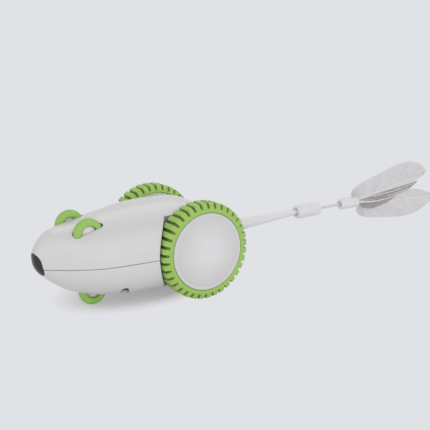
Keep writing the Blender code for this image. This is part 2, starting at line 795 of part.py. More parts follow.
def upper_features():
    """Everything that hangs inside the upper shell, as solids that its hollow leaves."""
    roof = WHEEL_R + BODY_TOP + OVERRUN
    idler_y, idler_z = idler_place()
    seat_z = WHEEL_R + idler_z + case_end_r(IDLER_BIG_TEETH, -SHIFT_SHARE) + GAP
    features = [wheel_box(name, centre, 1) for name, centre in small_wheels()[1:]]
    features.append(rib("sensor_wall", (-SENSOR_WALL_HALF, SENSOR_WALL_Y - SENSOR_WALL, WHEEL_R),
                        (SENSOR_WALL_HALF, SENSOR_WALL_Y, roof)))
    for side, word in SIDES:
        low_x, high_x = sorted((side * (CASE_X + CASE_PLATE), side * CASE_COVER_X))
        features.append(rib(f"{word}_case_stop", (low_x, idler_y - RIB / 2, seat_z),
                            (high_x, idler_y + RIB / 2, roof)))
    return features


def shared_features():
    """Solids inside both shells: the lens seat, arch walls, posts and the tail's rib."""
    lens_back = LENS_DEPTH + WALL - NOSE_REACH
    tail_low = STALK_COLLAR_Y - GAP - RIB
    features = arches("arch_wall", ARCH_X - ARCH_WALL, ARCH_R + ARCH_WALL)
    features += posts()
    features.append(rib("lens_block", (-BODY_HALF_WIDTH, -NOSE_REACH - OVERRUN, 0),
                        (BODY_HALF_WIDTH, lens_back, WHEEL_R + BODY_TOP)))
    features.append(rib("tail_rib", (-BODY_HALF_WIDTH, tail_low, 0),
                        (BODY_HALF_WIDTH, tail_low + RIB, WHEEL_R + BODY_TOP)))
    return features


def shared_cuts():
    """Cutters that both shells take: arches, lens seat, bush bores and the tail's opening."""
    cuts = arches("arch", ARCH_X, ARCH_R)
    seat = LENS_DEPTH + GAP
    cuts.append(lens_oval("lens_seat", LENS_HALF_WIDTH + GAP, LENS_HALF_HEIGHT + GAP, seat))
    cuts.append(lens_oval("lens_window", LENS_HALF_WIDTH * WINDOW_SHARE,
                          LENS_HALF_HEIGHT * WINDOW_SHARE, seat + WALL + OVERRUN))
    cuts.append(tool(rod("bush_bore", place(-ARCH_X - OVERRUN, 0, WHEEL_R),
                         place(ARCH_X + OVERRUN, 0, WHEEL_R), bush_r() + GAP, ALONG_X)))
    cuts.append(tool(rod("tail_bore", place(0, STALK_COLLAR_Y, WHEEL_R),
                         place(0, BODY_REAR + OVERRUN, WHEEL_R), STALK_ROOT_R + GAP, ALONG_Y, TAIL_STEPS)))
    cuts.append(tool(rod("tail_stub_bore", place(0, STALK_COLLAR_Y - STALK_STUB - OVERRUN, WHEEL_R),
                         place(0, STALK_COLLAR_Y, WHEEL_R), STALK_STUB_R + GAP, ALONG_Y, TAIL_STEPS)))
    return cuts


def shell(name, low_z, high_z, features, cuts):
    """One half of the body: the form, its hollow and what the seam leaves of both."""
    form = body_form(name, 0.0, FORM_SIDES, FORM_STEPS)
    hollow = tool(body_form(name + "_hollow", WALL, HOLLOW_SIDES, HOLLOW_STEPS))
    cut(hollow, *features)
    span = BODY_HALF_WIDTH + OVERRUN
    half = rib(name + "_half", (-span, -NOSE_REACH - OVERRUN, low_z),
               (span, BODY_REAR + OVERRUN, high_z))
    combine(form, "INTERSECT", half)
    cut(form, hollow, *cuts)
    return form


def lower_shell(shared, cuts):
    """The belly half, with the roller's slot, the battery compartment and the switch slot."""
    across, along = battery_half()
    door_across, door_along = across + DOOR_LEDGE, along + DOOR_LEDGE
    name, centre = small_wheels()[0]
    half = small_axle_half()
    own = [wheel_slot(name, centre)]
    own.append(rib("battery_space", (-across, BATTERY_Y - along, BELLY_FLAT_Z),
                   (across, BATTERY_Y + along, battery_roof_z())))
    own.append(tool(box("door_space", place(-door_across, BATTERY_Y - door_along, -OVERRUN),
                        place(door_across, BATTERY_Y + door_along, ledge_z()), DOOR_CORNER)))
    own.append(tool(box("door_tab_space", place(-DOOR_TAB_HALF - GAP, BATTERY_Y + along, -OVERRUN),
                        place(DOOR_TAB_HALF + GAP, BATTERY_Y + door_along + DOOR_TAB_REACH, ledge_z()),
                        DOOR_TAB_CORNER)))
    own.append(tool(rod("door_screw_bore", place(0, door_screw_y(), 0),
                        place(0, door_screw_y(), BELLY_FLAT_Z + DOOR_SCREW_LENGTH), SCREW_R + GAP)))
    for post, x, y in post_places():
        own.append(tool(rod(f"{post}_recess", place(x, y, -OVERRUN), place(x, y, SCREW_SEAT_Z),
                            SCREW_RECESS_R)))
        own.append(tool(rod(f"{post}_low_bore", place(x, y, 0), place(x, y, WHEEL_R + OVERRUN),
                            SCREW_R + GAP)))
    low, high = knob_slot()
    own.append(rib("knob_slot", (*low, -OVERRUN), (*high, BELLY_FLAT_Z + WALL + OVERRUN)))
    half_x, half_y = SWITCH_HALF
    middle = SWITCH_Y + KNOB_TRAVEL / 2
    own.append(rib("switch_seat", (SWITCH_X - half_x - GAP, middle - half_y - GAP, SWITCH_Z - GAP),
                   (SWITCH_X + half_x + GAP, middle + half_y + GAP, SWITCH_Z + SWITCH_HEIGHT + GAP)))
    shape = shell("lower_shell", BELLY_FLAT_Z, WHEEL_R - SEAM_GAP / 2,
                  shared + lower_features(), cuts + own)
    combine(shape, "UNION", *axle_bosses(name, centre))
    cut(shape, axle_hole("roller_axle_hole", -half - GAP, half + GAP, centre))
    return keep(shape, WHITE)


def upper_shell(shared, cuts):
    """The back half, with the slots of the two ear wheels."""
    half = small_axle_half()
    ears = small_wheels()[1:]
    own = [wheel_slot(name, centre) for name, centre in ears]
    for post, x, y in post_places():
        top = SCREW_SEAT_Z + SCREW_LENGTH + SCREW_HEAD
        own.append(tool(rod(f"{post}_high_bore", place(x, y, 0), place(x, y, top), SCREW_R + GAP)))
    for side, word in SIDES:
        start = place(side * SENSOR_X, SENSOR_WALL_Y - SENSOR_WALL - OVERRUN, SENSOR_Z)
        end = place(side * SENSOR_X, SENSOR_WALL_Y + OVERRUN, SENSOR_Z)
        own.append(tool(rod(f"{word}_sensor_bore", start, end, SENSOR_R + GAP, ALONG_Y)))
    shape = shell("upper_shell", WHEEL_R + SEAM_GAP / 2, WHEEL_R + BODY_TOP + OVERRUN,
                  shared + upper_features(), cuts + own)
    for name, centre in ears:
        combine(shape, "UNION", *axle_bosses(name, centre))
    reach = EAR_X + half + GAP
    cut(shape, axle_hole("ear_axle_hole", -reach, reach, ears[0][1]))
    return keep(shape, WHITE)


def nose_lens():
    """The dark lens: the body's own tip, a little proud, cut to an oval."""
    lens = body_form("nose_lens", 0.0, FORM_SIDES, FORM_STEPS, LENS_PROUD)
    combine(lens, "INTERSECT", lens_oval("lens_edge", LENS_HALF_WIDTH, LENS_HALF_HEIGHT, LENS_DEPTH))
    return keep(lens, DARK)


# Big wheels

def lug_grooves(word, centre):
    """Cutter for the grooves that leave the lugs, with one lug square on the floor."""
    pitch = math.tau / LUG_COUNT
    low = WHEEL_R - LUG_HEIGHT
    high = WHEEL_R + OVERRUN
    groove = (1 - LUG_SHARE) * pitch * WHEEL_R
    span = Matrix.Diagonal((TYRE_HALF_WIDTH * 2 + OVERRUN, groove, high - low, 1))
    bm = bmesh.new()
    for index in range(LUG_COUNT):
        turn = Matrix.Rotation((index + 0.5) * pitch, 4, "X")
        out = Matrix.Translation((0, 0, (low + high) / 2))
        bmesh.ops.create_cube(bm, size=1.0, matrix=turn @ out @ span)
    mesh = bpy.data.meshes.new(f"{word}_lug_grooves")
    bm.to_mesh(mesh)
    bm.free()
    obj = bpy.data.objects.new(f"{word}_lug_grooves", mesh)
    obj.location = centre
    return tool(obj)


def big_tyre(side, word):
    """A tyre with straight lugs across its tread and a lip that hides the rim's edge."""
    crown = facet_r(WHEEL_R, LUG_COUNT)
    shoulder = CROWN_HALF_WIDTH + (TYRE_HALF_WIDTH - CROWN_HALF_WIDTH) * SHOULDER_WIDTH_SHARE
    shoulder_r = crown - (WHEEL_R - RIM_R) * SHOULDER_DROP_SHARE
    seat = facet_r(RIM_R + GAP, LUG_COUNT)
    lip_r = facet_r(TYRE_LIP_R, LUG_COUNT)
    lip = TYRE_HALF_WIDTH - TYRE_LIP_WIDTH
    profile = [
        (seat, lip), (lip_r, lip), (lip_r, TYRE_HALF_WIDTH), (shoulder_r, shoulder),
        (crown, CROWN_HALF_WIDTH), (crown, -CROWN_HALF_WIDTH), (shoulder_r, -shoulder),
        (seat, -TYRE_HALF_WIDTH),
    ]
    centre = place(side * WHEEL_X, 0, WHEEL_R)
    frame = Matrix.Rotation(math.pi / LUG_COUNT, 4, "X") @ ALONG_X
    tyre = turned(f"{word}_tyre", facing(profile, side), centre, frame, LUG_COUNT, closed=True)
    return keep(cut(tyre, lug_grooves(word, centre)), GREEN)


def wheel_rim(side, word):
    """The white drum inside a tyre: a disc on the body side, a drum and a hub boss."""
    back = -TYRE_HALF_WIDTH + RIM_INSET
    front = TYRE_HALF_WIDTH - TYRE_LIP_WIDTH - GAP
    floor = back + RIM_DISC
    bore = AXLE_R + GAP
    profile = [
        (RIM_R - RIM_WALL, front), (RIM_R, front), (RIM_R, back), (bore, back), (bore, RIM_BOSS_END),
        (RIM_BOSS_R, RIM_BOSS_END), (RIM_BOSS_R, floor), (RIM_R - RIM_WALL, floor),
    ]
    centre = place(side * WHEEL_X, 0, WHEEL_R)
    rim = turned(f"{word}_rim", facing(profile, side), centre, steps=WHEEL_STEPS, closed=True)
    return keep(rim, WHITE)


def hub_cap(side, word):
    """The domed silver disc that snaps into the drum, with a raised ring at its edge."""
    edge = TYRE_LIP_R - GAP
    plug = RIM_R - RIM_WALL - GAP
    top = TYRE_HALF_WIDTH + CAP_DOME
    ring_in = edge - CAP_RING_WIDTH
    back = TYRE_HALF_WIDTH - TYRE_LIP_WIDTH
    profile = [
        (0, top), (ring_in / 2, top - CAP_DOME / 4), (ring_in, TYRE_HALF_WIDTH + GAP),
        (edge, TYRE_HALF_WIDTH), (edge, back), (plug, back), (plug, back - CAP_PLUG),
        (0, back - CAP_PLUG),
    ]
    centre = place(side * WHEEL_X, 0, WHEEL_R)
    cap = turned(f"{word}_hub_cap", facing(profile, side), centre, steps=WHEEL_STEPS)
    return keep(cap, SILVER)


def wheel_axle(side, word):
    """A drive axle from the gearbox out to the hub, bored at its end for the wheel screw."""
    start = side * (CASE_X - AXLE_BITE)
    end = side * (WHEEL_X + RIM_BOSS_END - GAP)
    axle = rod(f"{word}_axle", place(start, 0, WHEEL_R), place(end, 0, WHEEL_R), AXLE_R, ALONG_X)
    bore = tool(rod(f"{word}_axle_bore", place(end - side * AXLE_BORE_DEPTH, 0, WHEEL_R),
                    place(end + side * OVERRUN, 0, WHEEL_R), AXLE_BORE_R, ALONG_X, BORE_SIDES))
    return keep(cut(axle, bore), STEEL)


def wheel_screw(side, word):
    """The screw in the axle's end that holds the wheel on."""
    top = SCREW_HEAD
    profile = [
        (0, top), (WHEEL_SCREW_HEAD_R - top / 2, top), (WHEEL_SCREW_HEAD_R, top / 2),
        (WHEEL_SCREW_HEAD_R, 0), (WHEEL_SCREW_R, 0), (WHEEL_SCREW_R, -WHEEL_SCREW_LENGTH),
        (0, -WHEEL_SCREW_LENGTH),
    ]
    centre = place(side * (WHEEL_X + RIM_BOSS_END + GAP), 0, WHEEL_R)
    screw = turned(f"{word}_wheel_screw", facing(profile, side), centre, steps=BORE_SIDES)
    return keep(screw, STEEL)


# Small wheels

def small_tyre(name, centre):
    """A smooth round tyre, flat inside where it sits on its hub."""
    middle = SMALL_R - SMALL_SECTION_R
    reach = math.acos((SMALL_BORE_R - middle) / SMALL_SECTION_R)
    profile = []
    for index in range(SMALL_SECTION_POINTS):
        angle = reach * (1 - 2 * index / (SMALL_SECTION_POINTS - 1))
        profile.append((middle + SMALL_SECTION_R * math.cos(angle), SMALL_SECTION_R * math.sin(angle)))
    tyre = turned(f"{name}_tyre", profile, centre, steps=SMALL_STEPS, closed=True)
    return keep(tyre, GREEN)


def small_hub(name, centre):
    """A white hub with a domed face on each side."""
    edge = SMALL_BORE_R - GAP
    bore = SMALL_AXLE_R + GAP
    profile = [
        (bore, SMALL_HUB_DOME), (edge / 2, SMALL_HUB_DOME), (edge, SMALL_HUB_EDGE),
        (edge, -SMALL_HUB_EDGE), (edge / 2, -SMALL_HUB_DOME), (bore, -SMALL_HUB_DOME),
    ]
    return keep(turned(f"{name}_hub", profile, centre, steps=SMALL_HUB_STEPS, closed=True), WHITE)


def small_axle(name, low_x, high_x, centre):
    """A steel pin that a small wheel turns on."""
    start = Vector((low_x, centre.y, centre.z))
    end = Vector((high_x, centre.y, centre.z))
    return keep(rod(name, start, end, SMALL_AXLE_R, ALONG_X, BORE_SIDES), STEEL)


# Gears, gearboxes and motors

def tip_r(teeth, shift):
    """Outer radius of a gear."""
    return MODULE * (teeth / 2 + ADDENDUM_SHARE + shift)


def tooth_half_angle(radius, teeth, shift):
    """Half the angle that an involute tooth spans at a radius."""
    pitch = MODULE * teeth / 2
    base = pitch * math.cos(PRESSURE)
    slope = math.acos(base / max(radius, base))
    half = (math.pi / 2 + 2 * shift * math.tan(PRESSURE)) / teeth - BACKLASH / pitch / 2
    return half + math.tan(PRESSURE) - PRESSURE - math.tan(slope) + slope


def gear_outline(teeth, shift, phase):
    """Points round a gear. The small gears' curved flanks have a point between root and tip."""
    root = MODULE * (teeth / 2 - ROOT_SHARE + shift)
    tip = tip_r(teeth, shift)
    radii = (root, tip) if shift < 0 else (root, (root + tip) / 2, tip)
    points = []
    for tooth in range(teeth):
        middle = phase + math.tau * tooth / teeth
        rising = [(radius, middle - tooth_half_angle(radius, teeth, shift)) for radius in radii]
        falling = [(radius, 2 * middle - angle) for radius, angle in reversed(rising)]
        points += [(radius * math.cos(angle), radius * math.sin(angle))
                   for radius, angle in rising + falling]
    return points


def mesh_phase(direction, phase, teeth, own_teeth):
    """Phase of a gear that meshes with another, which lies opposite the given direction."""
    offset = phase - direction
    return direction + math.pi + math.pi / own_teeth - offset * teeth / own_teeth


def gear_phases():
    """Tooth phases of the wheel gear, the idler's two gears and the motor pinion."""
    wheel = 0.0
    small = mesh_phase(IDLER_ANGLE, wheel, WHEEL_TEETH, IDLER_SMALL_TEETH)
    pinion = mesh_phase(MOTOR_ANGLE, small, IDLER_BIG_TEETH, PINION_TEETH)
    return wheel, small, pinion


def gear(name, teeth, shift, phase, x_range, centre, bore):
    """One gear with a round bore, between two distances off the middle."""
    low, high = sorted(x_range)
    outlines = [gear_outline(teeth, shift, phase)]
    if bore:
        outlines.append(circle(bore, BORE_SIDES))
    return plate(name, outlines, low, high, centre)


def drive_gears(side, word):
    """The wheel gear, the idler with its two gears, and the motor pinion."""
    idler_y, idler_z = idler_place()
    motor_y, motor_z = motor_place()
    wheel_phase, idler_phase, pinion_phase = gear_phases()
    step = GEAR_X + IDLER_BIG_WIDTH
    end = step + GEAR_STEP_GAP + WHEEL_GEAR_WIDTH
    wheel = gear(f"{word}_wheel_gear", WHEEL_TEETH, -SHIFT_SHARE, wheel_phase,
                 (side * (step + GEAR_STEP_GAP), side * end), place(0, 0, WHEEL_R), AXLE_R + GAP)
    idler_at = place(0, idler_y, WHEEL_R + idler_z)
    idler = gear(f"{word}_idler_gear", IDLER_BIG_TEETH, -SHIFT_SHARE, idler_phase,
                 (side * GEAR_X, side * step), idler_at, None)
    small = gear(f"{word}_idler_small", IDLER_SMALL_TEETH, SHIFT_SHARE, idler_phase,
                 (side * (step - GEAR_STEP_GAP), side * end), idler_at, None)
    combine(idler, "UNION", tool(small))
    cut(idler, tool(rod(f"{word}_idler_bore", idler_at, idler_at + Vector((side * (end + OVERRUN), 0, 0)),
                        IDLER_R + GAP, ALONG_X, BORE_SIDES)))
    motor_at = place(0, motor_y, WHEEL_R + motor_z)
    pinion = gear(f"{word}_pinion", PINION_TEETH, SHIFT_SHARE, pinion_phase,
                  (side * GEAR_X, side * step), motor_at, None)
    inner = CASE_X - MOTOR_SHAFT_BITE
    shaft = rod(f"{word}_motor_shaft", motor_at + Vector((side * inner, 0, 0)),
                motor_at + Vector((side * (step - GAP), 0, 0)), MOTOR_SHAFT_R, ALONG_X, BORE_SIDES)
    combine(pinion, "UNION", tool(shaft))
    for piece, finish in ((wheel, CREAM), (idler, CREAM), (pinion, BRASS)):
        keep(piece, finish, smooth=False)


def case_outline(offset):
    """Outline of a gearbox case round its three gears, drawn in by an offset."""
    idler, motor = idler_place(), motor_place()
    rows = (
        (0.0, 0.0, case_end_r(WHEEL_TEETH, -SHIFT_SHARE)),
        (*idler, case_end_r(IDLER_BIG_TEETH, -SHIFT_SHARE)),
        (*motor, case_end_r(PINION_TEETH, SHIFT_SHARE)),
    )
    points = []
    for y, z, radius in rows:
        points += circle(radius - offset, CASE_ARC_POINTS, (y, z))
    return hull(points)


def gearbox(side, word):
    """A gearbox base, which is a plate with a wall round it, and its cover plate."""
    centre = place(0, 0, WHEEL_R)
    idler_y, idler_z = idler_place()
    motor_y, motor_z = motor_place()
    base = plate(f"{word}_gearbox_base", [case_outline(0.0)],
                 *sorted((side * CASE_X, side * (CASE_COVER_X - GAP))), centre)
    pocket = plate(f"{word}_gearbox_pocket", [case_outline(CASE_WALL)],
                   *sorted((side * (CASE_X + CASE_PLATE), side * (CASE_COVER_X + OVERRUN))), centre)
    cover = plate(f"{word}_gearbox_cover", [case_outline(0.0)],
                  *sorted((side * CASE_COVER_X, side * (CASE_COVER_X + CASE_PLATE))), centre)
    ends = (side * (CASE_X - OVERRUN), side * (CASE_COVER_X + CASE_PLATE + OVERRUN))
    holes = []
    for label, y, z, radius in (("axle", 0.0, 0.0, AXLE_R), ("idler", idler_y, idler_z, IDLER_R)):
        holes.append(tool(rod(f"{word}_{label}_hole", place(ends[0], y, WHEEL_R + z),
                              place(ends[1], y, WHEEL_R + z), radius + GAP, ALONG_X, BORE_SIDES)))
    boss_hole = tool(rod(f"{word}_motor_hole", place(ends[0], motor_y, WHEEL_R + motor_z),
                         place(side * GEAR_X, motor_y, WHEEL_R + motor_z), MOTOR_BOSS_R + GAP, ALONG_X))
    keep(cut(base, tool(pocket), *holes, boss_hole), WHITE, smooth=False)
    keep(cut(cover, *holes), WHITE, smooth=False)


def motor(side, word):
    """A small can motor with two flats, a front boss and a bored rear cap."""
    motor_y, motor_z = motor_place()
    centre = place(0, motor_y, WHEEL_R + motor_z)
    front = CASE_X - GAP
    profile = [
        (0, CASE_X + CASE_PLATE / 2), (MOTOR_BOSS_R, CASE_X + CASE_PLATE / 2), (MOTOR_BOSS_R, front),
        (MOTOR_R, front), (MOTOR_R, MOTOR_X + CASE_PLATE), (MOTOR_TERMINAL_R, MOTOR_X + CASE_PLATE),
        (MOTOR_TERMINAL_R, MOTOR_X), (0, MOTOR_X),
    ]
    can = turned(f"{word}_motor", facing(profile, side), centre)
    span = Vector((front + OVERRUN, MOTOR_R + OVERRUN, MOTOR_FLAT_HALF))
    flats = tool(box(f"{word}_motor_flats", centre - span, centre + span))
    bore = tool(rod(f"{word}_motor_bore",
                    centre + Vector((side * (CASE_X - MOTOR_SHAFT_BITE - GAP), 0, 0)),
                    centre + Vector((side * (CASE_X + OVERRUN), 0, 0)),
                    MOTOR_SHAFT_R + GAP, ALONG_X, BORE_SIDES))
    combine(can, "INTERSECT", flats)
    return keep(cut(can, bore), STEEL)


def bush_r():
    """Outer radius of the axle bush."""
    return AXLE_R + GAP + BUSH_WALL


def axle_bush(side, word):
    """A flanged bush that carries the axle in the arch wall."""
    bore = AXLE_R + GAP
    profile = [
        (bore, ARCH_X + BUSH_PROUD), (bush_r(), ARCH_X + BUSH_PROUD), (bush_r(), BUSH_IN_X),
        (bush_r() + BUSH_FLANGE, BUSH_IN_X),
        (bush_r() + BUSH_FLANGE, BUSH_IN_X - BUSH_FLANGE_THICK),
        (bore, BUSH_IN_X - BUSH_FLANGE_THICK),
    ]
    bush = turned(f"{word}_axle_bush", facing(profile, side), place(0, 0, WHEEL_R), closed=True)
    return keep(bush, BRASS)


def idler_shaft():
    """The steel rod that both idlers turn on."""
    y, z = idler_place()
    reach = CASE_COVER_X + CASE_PLATE
    return keep(rod("idler_shaft", place(-reach, y, WHEEL_R + z), place(reach, y, WHEEL_R + z),
                    IDLER_R, ALONG_X, BORE_SIDES), STEEL)


# Batteries, electronics and screws

def batteries():
    """Three cells side by side along the toy, turned end for end in turn."""
    for index, x in enumerate(battery_xs()):
        side = 1 if index % 2 == 0 else -1
        half = BATTERY_LENGTH / 2
        shoulder = half - BATTERY_NUB
        profile = [
            (0, half), (BATTERY_NUB_R, half), (BATTERY_NUB_R, shoulder), (BATTERY_R, shoulder),
            (BATTERY_R, -half), (0, -half),
        ]
        centre = place(x, BATTERY_Y, battery_z())
        keep(turned(f"battery_{index + 1}", facing(profile, side), centre, ALONG_Y), CELL_BLUE)


def contact_plate(name, end):
    """A spring plate with a pressed dimple for each cell, at the front or the rear."""
    across, along = battery_half()
    face = along - GAP - CONTACT_THICK
    low_y, high_y = sorted((end * face, end * (face + CONTACT_THICK)))
    low_z, high_z = battery_z() - CONTACT_HEIGHT / 2, battery_z() + CONTACT_HEIGHT / 2
    piece = box(name, place(-across + GAP, BATTERY_Y + low_y, low_z),
                place(across - GAP, BATTERY_Y + high_y, high_z))
    for index, x in enumerate(battery_xs()):
        profile = [
            (0, face + CONTACT_THICK / 2), (CONTACT_DIMPLE_R, face + CONTACT_THICK / 2),
            (CONTACT_DIMPLE_R / 2, BATTERY_LENGTH / 2 + GAP), (0, BATTERY_LENGTH / 2 + GAP),
        ]
        dimple = turned(f"{name}_dimple_{index + 1}", facing(profile, end),
                        place(x, BATTERY_Y, battery_z()), ALONG_Y, SCREW_SIDES)
        combine(piece, "UNION", tool(dimple))
    return keep(piece, STEEL, smooth=False)


def battery_door():
    """The belly door, trimmed to the belly's curve, with its screw tab and grip grooves."""
    across, along = battery_half()
    half_x, half_y = across + DOOR_LEDGE - GAP, along + DOOR_LEDGE - GAP
    top = BELLY_FLAT_Z + DOOR_THICK
    rear = BATTERY_Y + half_y
    door = box("battery_door", place(-half_x, BATTERY_Y - half_y, BELLY_FLAT_Z),
               place(half_x, rear, top), DOOR_CORNER)
    tab = tool(box("door_tab", place(-DOOR_TAB_HALF, rear - DOOR_CORNER, BELLY_FLAT_Z),
                   place(DOOR_TAB_HALF, rear + DOOR_TAB_REACH, top), DOOR_TAB_CORNER))
    combine(door, "UNION", tab)
    combine(door, "INTERSECT", tool(body_form("door_trim", 0.0, FORM_SIDES, FORM_STEPS)))
    cuts = []
    for index in range(GRIP_RIBS):
        y = BATTERY_Y - half_y + GRIP_INSET + index * GRIP_RIB_PITCH
        cuts.append(rib(f"grip_groove_{index}", (-GRIP_RIB_HALF, y, -OVERRUN),
                        (GRIP_RIB_HALF, y + GRIP_RIB_WIDTH, BELLY_FLAT_Z + GRIP_RIB_DEPTH)))
    y = door_screw_y()
    cuts.append(tool(rod("door_head_recess", place(0, y, -OVERRUN),
                         place(0, y, BELLY_FLAT_Z + DOOR_THICK / 2), SCREW_HEAD_R + GAP)))
    cuts.append(tool(rod("door_shank_hole", place(0, y, 0), place(0, y, top + OVERRUN), SCREW_R + GAP)))
    return keep(cut(door, *cuts), WHITE, smooth=False)


def screw(name, x, y, seat_z, head, length):
    """A domed screw that points up, its head underneath."""
    profile = [
        (0, length), (SCREW_R / 2, length), (SCREW_R, length - SCREW_R), (SCREW_R, 0), (SCREW_HEAD_R, 0),
        (SCREW_HEAD_R, -head / 2), (SCREW_HEAD_R - head / 2, -head), (0, -head),
    ]
    return keep(turned(name, profile, place(x, y, seat_z), UPRIGHT, SCREW_SIDES), STEEL)


def board_posts():
    """Places of the four posts that carry the circuit board."""
    x = BOARD_HALF_WIDTH - STANDOFF_INSET
    rows = (BOARD_FRONT_Y + STANDOFF_INSET, BOARD_BACK_Y - STANDOFF_INSET)
    return [(side * x, y) for side, _ in SIDES for y in rows]


def circuit_board():
    """The control board with its chip, capacitor and plug block soldered on."""
    board = box("circuit_board", place(-BOARD_HALF_WIDTH, BOARD_FRONT_Y, BOARD_Z),
                place(BOARD_HALF_WIDTH, BOARD_BACK_Y, BOARD_Z + BOARD_THICK))
    under = BOARD_Z + BOARD_THICK / 2
    top = BOARD_Z + BOARD_THICK
    blocks = []
    for label, size, x, y in (("chip", CHIP, 0.0, CHIP_Y), ("plug_block", PLUG_BLOCK, 0.0, PLUG_BLOCK_Y)):
        blocks.append(rib(label, (x - size[0], y - size[1], under),
                          (x + size[0], y + size[1], top + size[2])))
    blocks.append(tool(rod("capacitor", place(CAPACITOR_X, CAPACITOR_Y, under),
                           place(CAPACITOR_X, CAPACITOR_Y, top + CAPACITOR_HEIGHT), CAPACITOR_R)))
    combine(board, "UNION", *blocks)
    for x, y in board_posts():
        cut(board, tool(rod("board_hole", place(x, y, BOARD_Z - OVERRUN), place(x, y, top + OVERRUN),
                            STANDOFF_PEG_R + GAP, sides=STANDOFF_SIDES)))
    return keep(board, BOARD_GREEN, smooth=False)


def sensor(name, side, finish):
    """A round-nosed infrared diode that looks out through the lens."""
    flange = SENSOR_WALL_Y + GAP
    tip = SENSOR_WALL_Y - SENSOR_WALL - SENSOR_REACH
    profile = [
        (0, flange + SENSOR_FLANGE), (SENSOR_FLANGE_R, flange + SENSOR_FLANGE), (SENSOR_FLANGE_R, flange),
        (SENSOR_R, flange), (SENSOR_R, tip + SENSOR_R), (SENSOR_R / 2, tip + SENSOR_R / 4), (0, tip),
    ]
    body = turned(name, profile, place(side * SENSOR_X, 0, SENSOR_Z), ALONG_Y, BORE_SIDES)
    return keep(body, finish)


def knob_slot():
    """Low and high corners, in X and Y, of the slot that the switch knob slides in."""
    x, y = KNOB_HALF
    return ((SWITCH_X - x - GAP, SWITCH_Y - y - GAP),
            (SWITCH_X + x + GAP, SWITCH_Y + y + KNOB_TRAVEL + GAP))


def switch_space(name, half, low_z, high_z):
    """Box about the switch, with half sizes about the knob's stem and room for its travel."""
    return rib(name, (SWITCH_X - half[0], SWITCH_Y - half[1], low_z),
               (SWITCH_X + half[0], SWITCH_Y + KNOB_TRAVEL + half[1], high_z))


def power_switch():
    """The switch body above the belly and its ridged knob, shown switched off."""
    x, y = SWITCH_HALF
    middle = SWITCH_Y + KNOB_TRAVEL / 2
    stem_top = SWITCH_Z + KNOB_STEM / 2
    body = box("switch_body", place(SWITCH_X - x, middle - y, SWITCH_Z),
               place(SWITCH_X + x, middle + y, SWITCH_Z + SWITCH_HEIGHT))
    slot_half = KNOB_STEM_HALF + GAP
    cut(body, switch_space("stem_space", (slot_half, slot_half), SWITCH_Z - OVERRUN, stem_top + GAP))
    keep(body, BLACK, smooth=False)
    base = BELLY_FLAT_Z + KNOB_INSET
    half_x, half_y = KNOB_HALF
    knob = box("switch_knob", place(SWITCH_X - half_x, SWITCH_Y - half_y, base),
               place(SWITCH_X + half_x, SWITCH_Y + half_y, base + KNOB_THICK))
    stem = rib("knob_stem", (SWITCH_X - KNOB_STEM_HALF, SWITCH_Y - KNOB_STEM_HALF, base + KNOB_THICK / 2),
               (SWITCH_X + KNOB_STEM_HALF, SWITCH_Y + KNOB_STEM_HALF, stem_top))
    combine(knob, "UNION", stem)
    for index in range(KNOB_RIDGES):
        y = SWITCH_Y + (index - (KNOB_RIDGES - 1) / 2) * KNOB_RIDGE_PITCH
        cut(knob, rib(f"knob_groove_{index}",
                      (SWITCH_X - half_x - OVERRUN, y - KNOB_RIDGE / 2, base - OVERRUN),
                      (SWITCH_X + half_x + OVERRUN, y + KNOB_RIDGE / 2, base + KNOB_RIDGE)))
    return keep(knob, BLACK, smooth=False)


# Tail

def tail_frame():
    """Frame of the pull-off tail end, whose axis droops from the stalk's tip."""
    return Matrix.Rotation(-TAIL_DROOP, 4, "X") @ ALONG_Y


def tail_point(reach):
    """Point on the pull-off end's axis at a reach behind the wheel axle."""
    return place(0, STALK_TIP_Y, WHEEL_R) + tail_frame().col[2].to_3d() * (reach - STALK_TIP_Y)


def tail_stalk():
    """The tapered stalk, with a collar held between the shells and a drooping peg at its tip."""
    collar = STALK_COLLAR_Y
    profile = [(0, STALK_TIP_Y)]
    for ring in range(STALK_RINGS + 1):
        share = ring / STALK_RINGS
        profile.append((STALK_TIP_R + (STALK_ROOT_R - STALK_TIP_R) * share ** STALK_TAPER_POWER,
                        STALK_TIP_Y + (BODY_REAR - STALK_TIP_Y) * share))
    profile += [
        (STALK_ROOT_R, collar + STALK_COLLAR), (STALK_COLLAR_R, collar + STALK_COLLAR),
        (STALK_COLLAR_R, collar), (STALK_STUB_R, collar), (STALK_STUB_R, collar - STALK_STUB),
        (0, collar - STALK_STUB),
    ]
    stalk = turned("tail_stalk", profile, place(0, 0, WHEEL_R), ALONG_Y, TAIL_STEPS)
    peg = rod("tail_peg", tail_point(STALK_TIP_Y - STALK_TIP_R), tail_point(STALK_TIP_Y + STALK_PEG),
              STALK_PEG_R, tail_frame())
    return keep(combine(stalk, "UNION", tool(peg)), TAIL_GREY)


def rounded_sleeve(name, start, length, radius, corner, front, back, finish):
    """A round-ended sleeve: front and back give the mouth radius, mouth depth, bore and its depth."""
    mouth_r, mouth, bore, depth = front
    back_bore, back_depth = back
    arc = []
    for step in range(ROUND_STEPS):
        angle = math.pi / 2 * step / (ROUND_STEPS - 1)
        arc.append((radius - corner * (1 - math.sin(angle)), corner * (1 - math.cos(angle))))
    profile = [(0, length - back_depth), (back_bore, length - back_depth), (back_bore, length)]
    profile += [(ring_r, length - drop) for ring_r, drop in arc]
    profile += [(ring_r, drop) for ring_r, drop in reversed(arc)]
    profile += [(mouth_r, 0), (bore, mouth), (bore, depth), (0, depth)]
    return keep(turned(name, profile, tail_point(start), tail_frame(), TAIL_STEPS), finish)


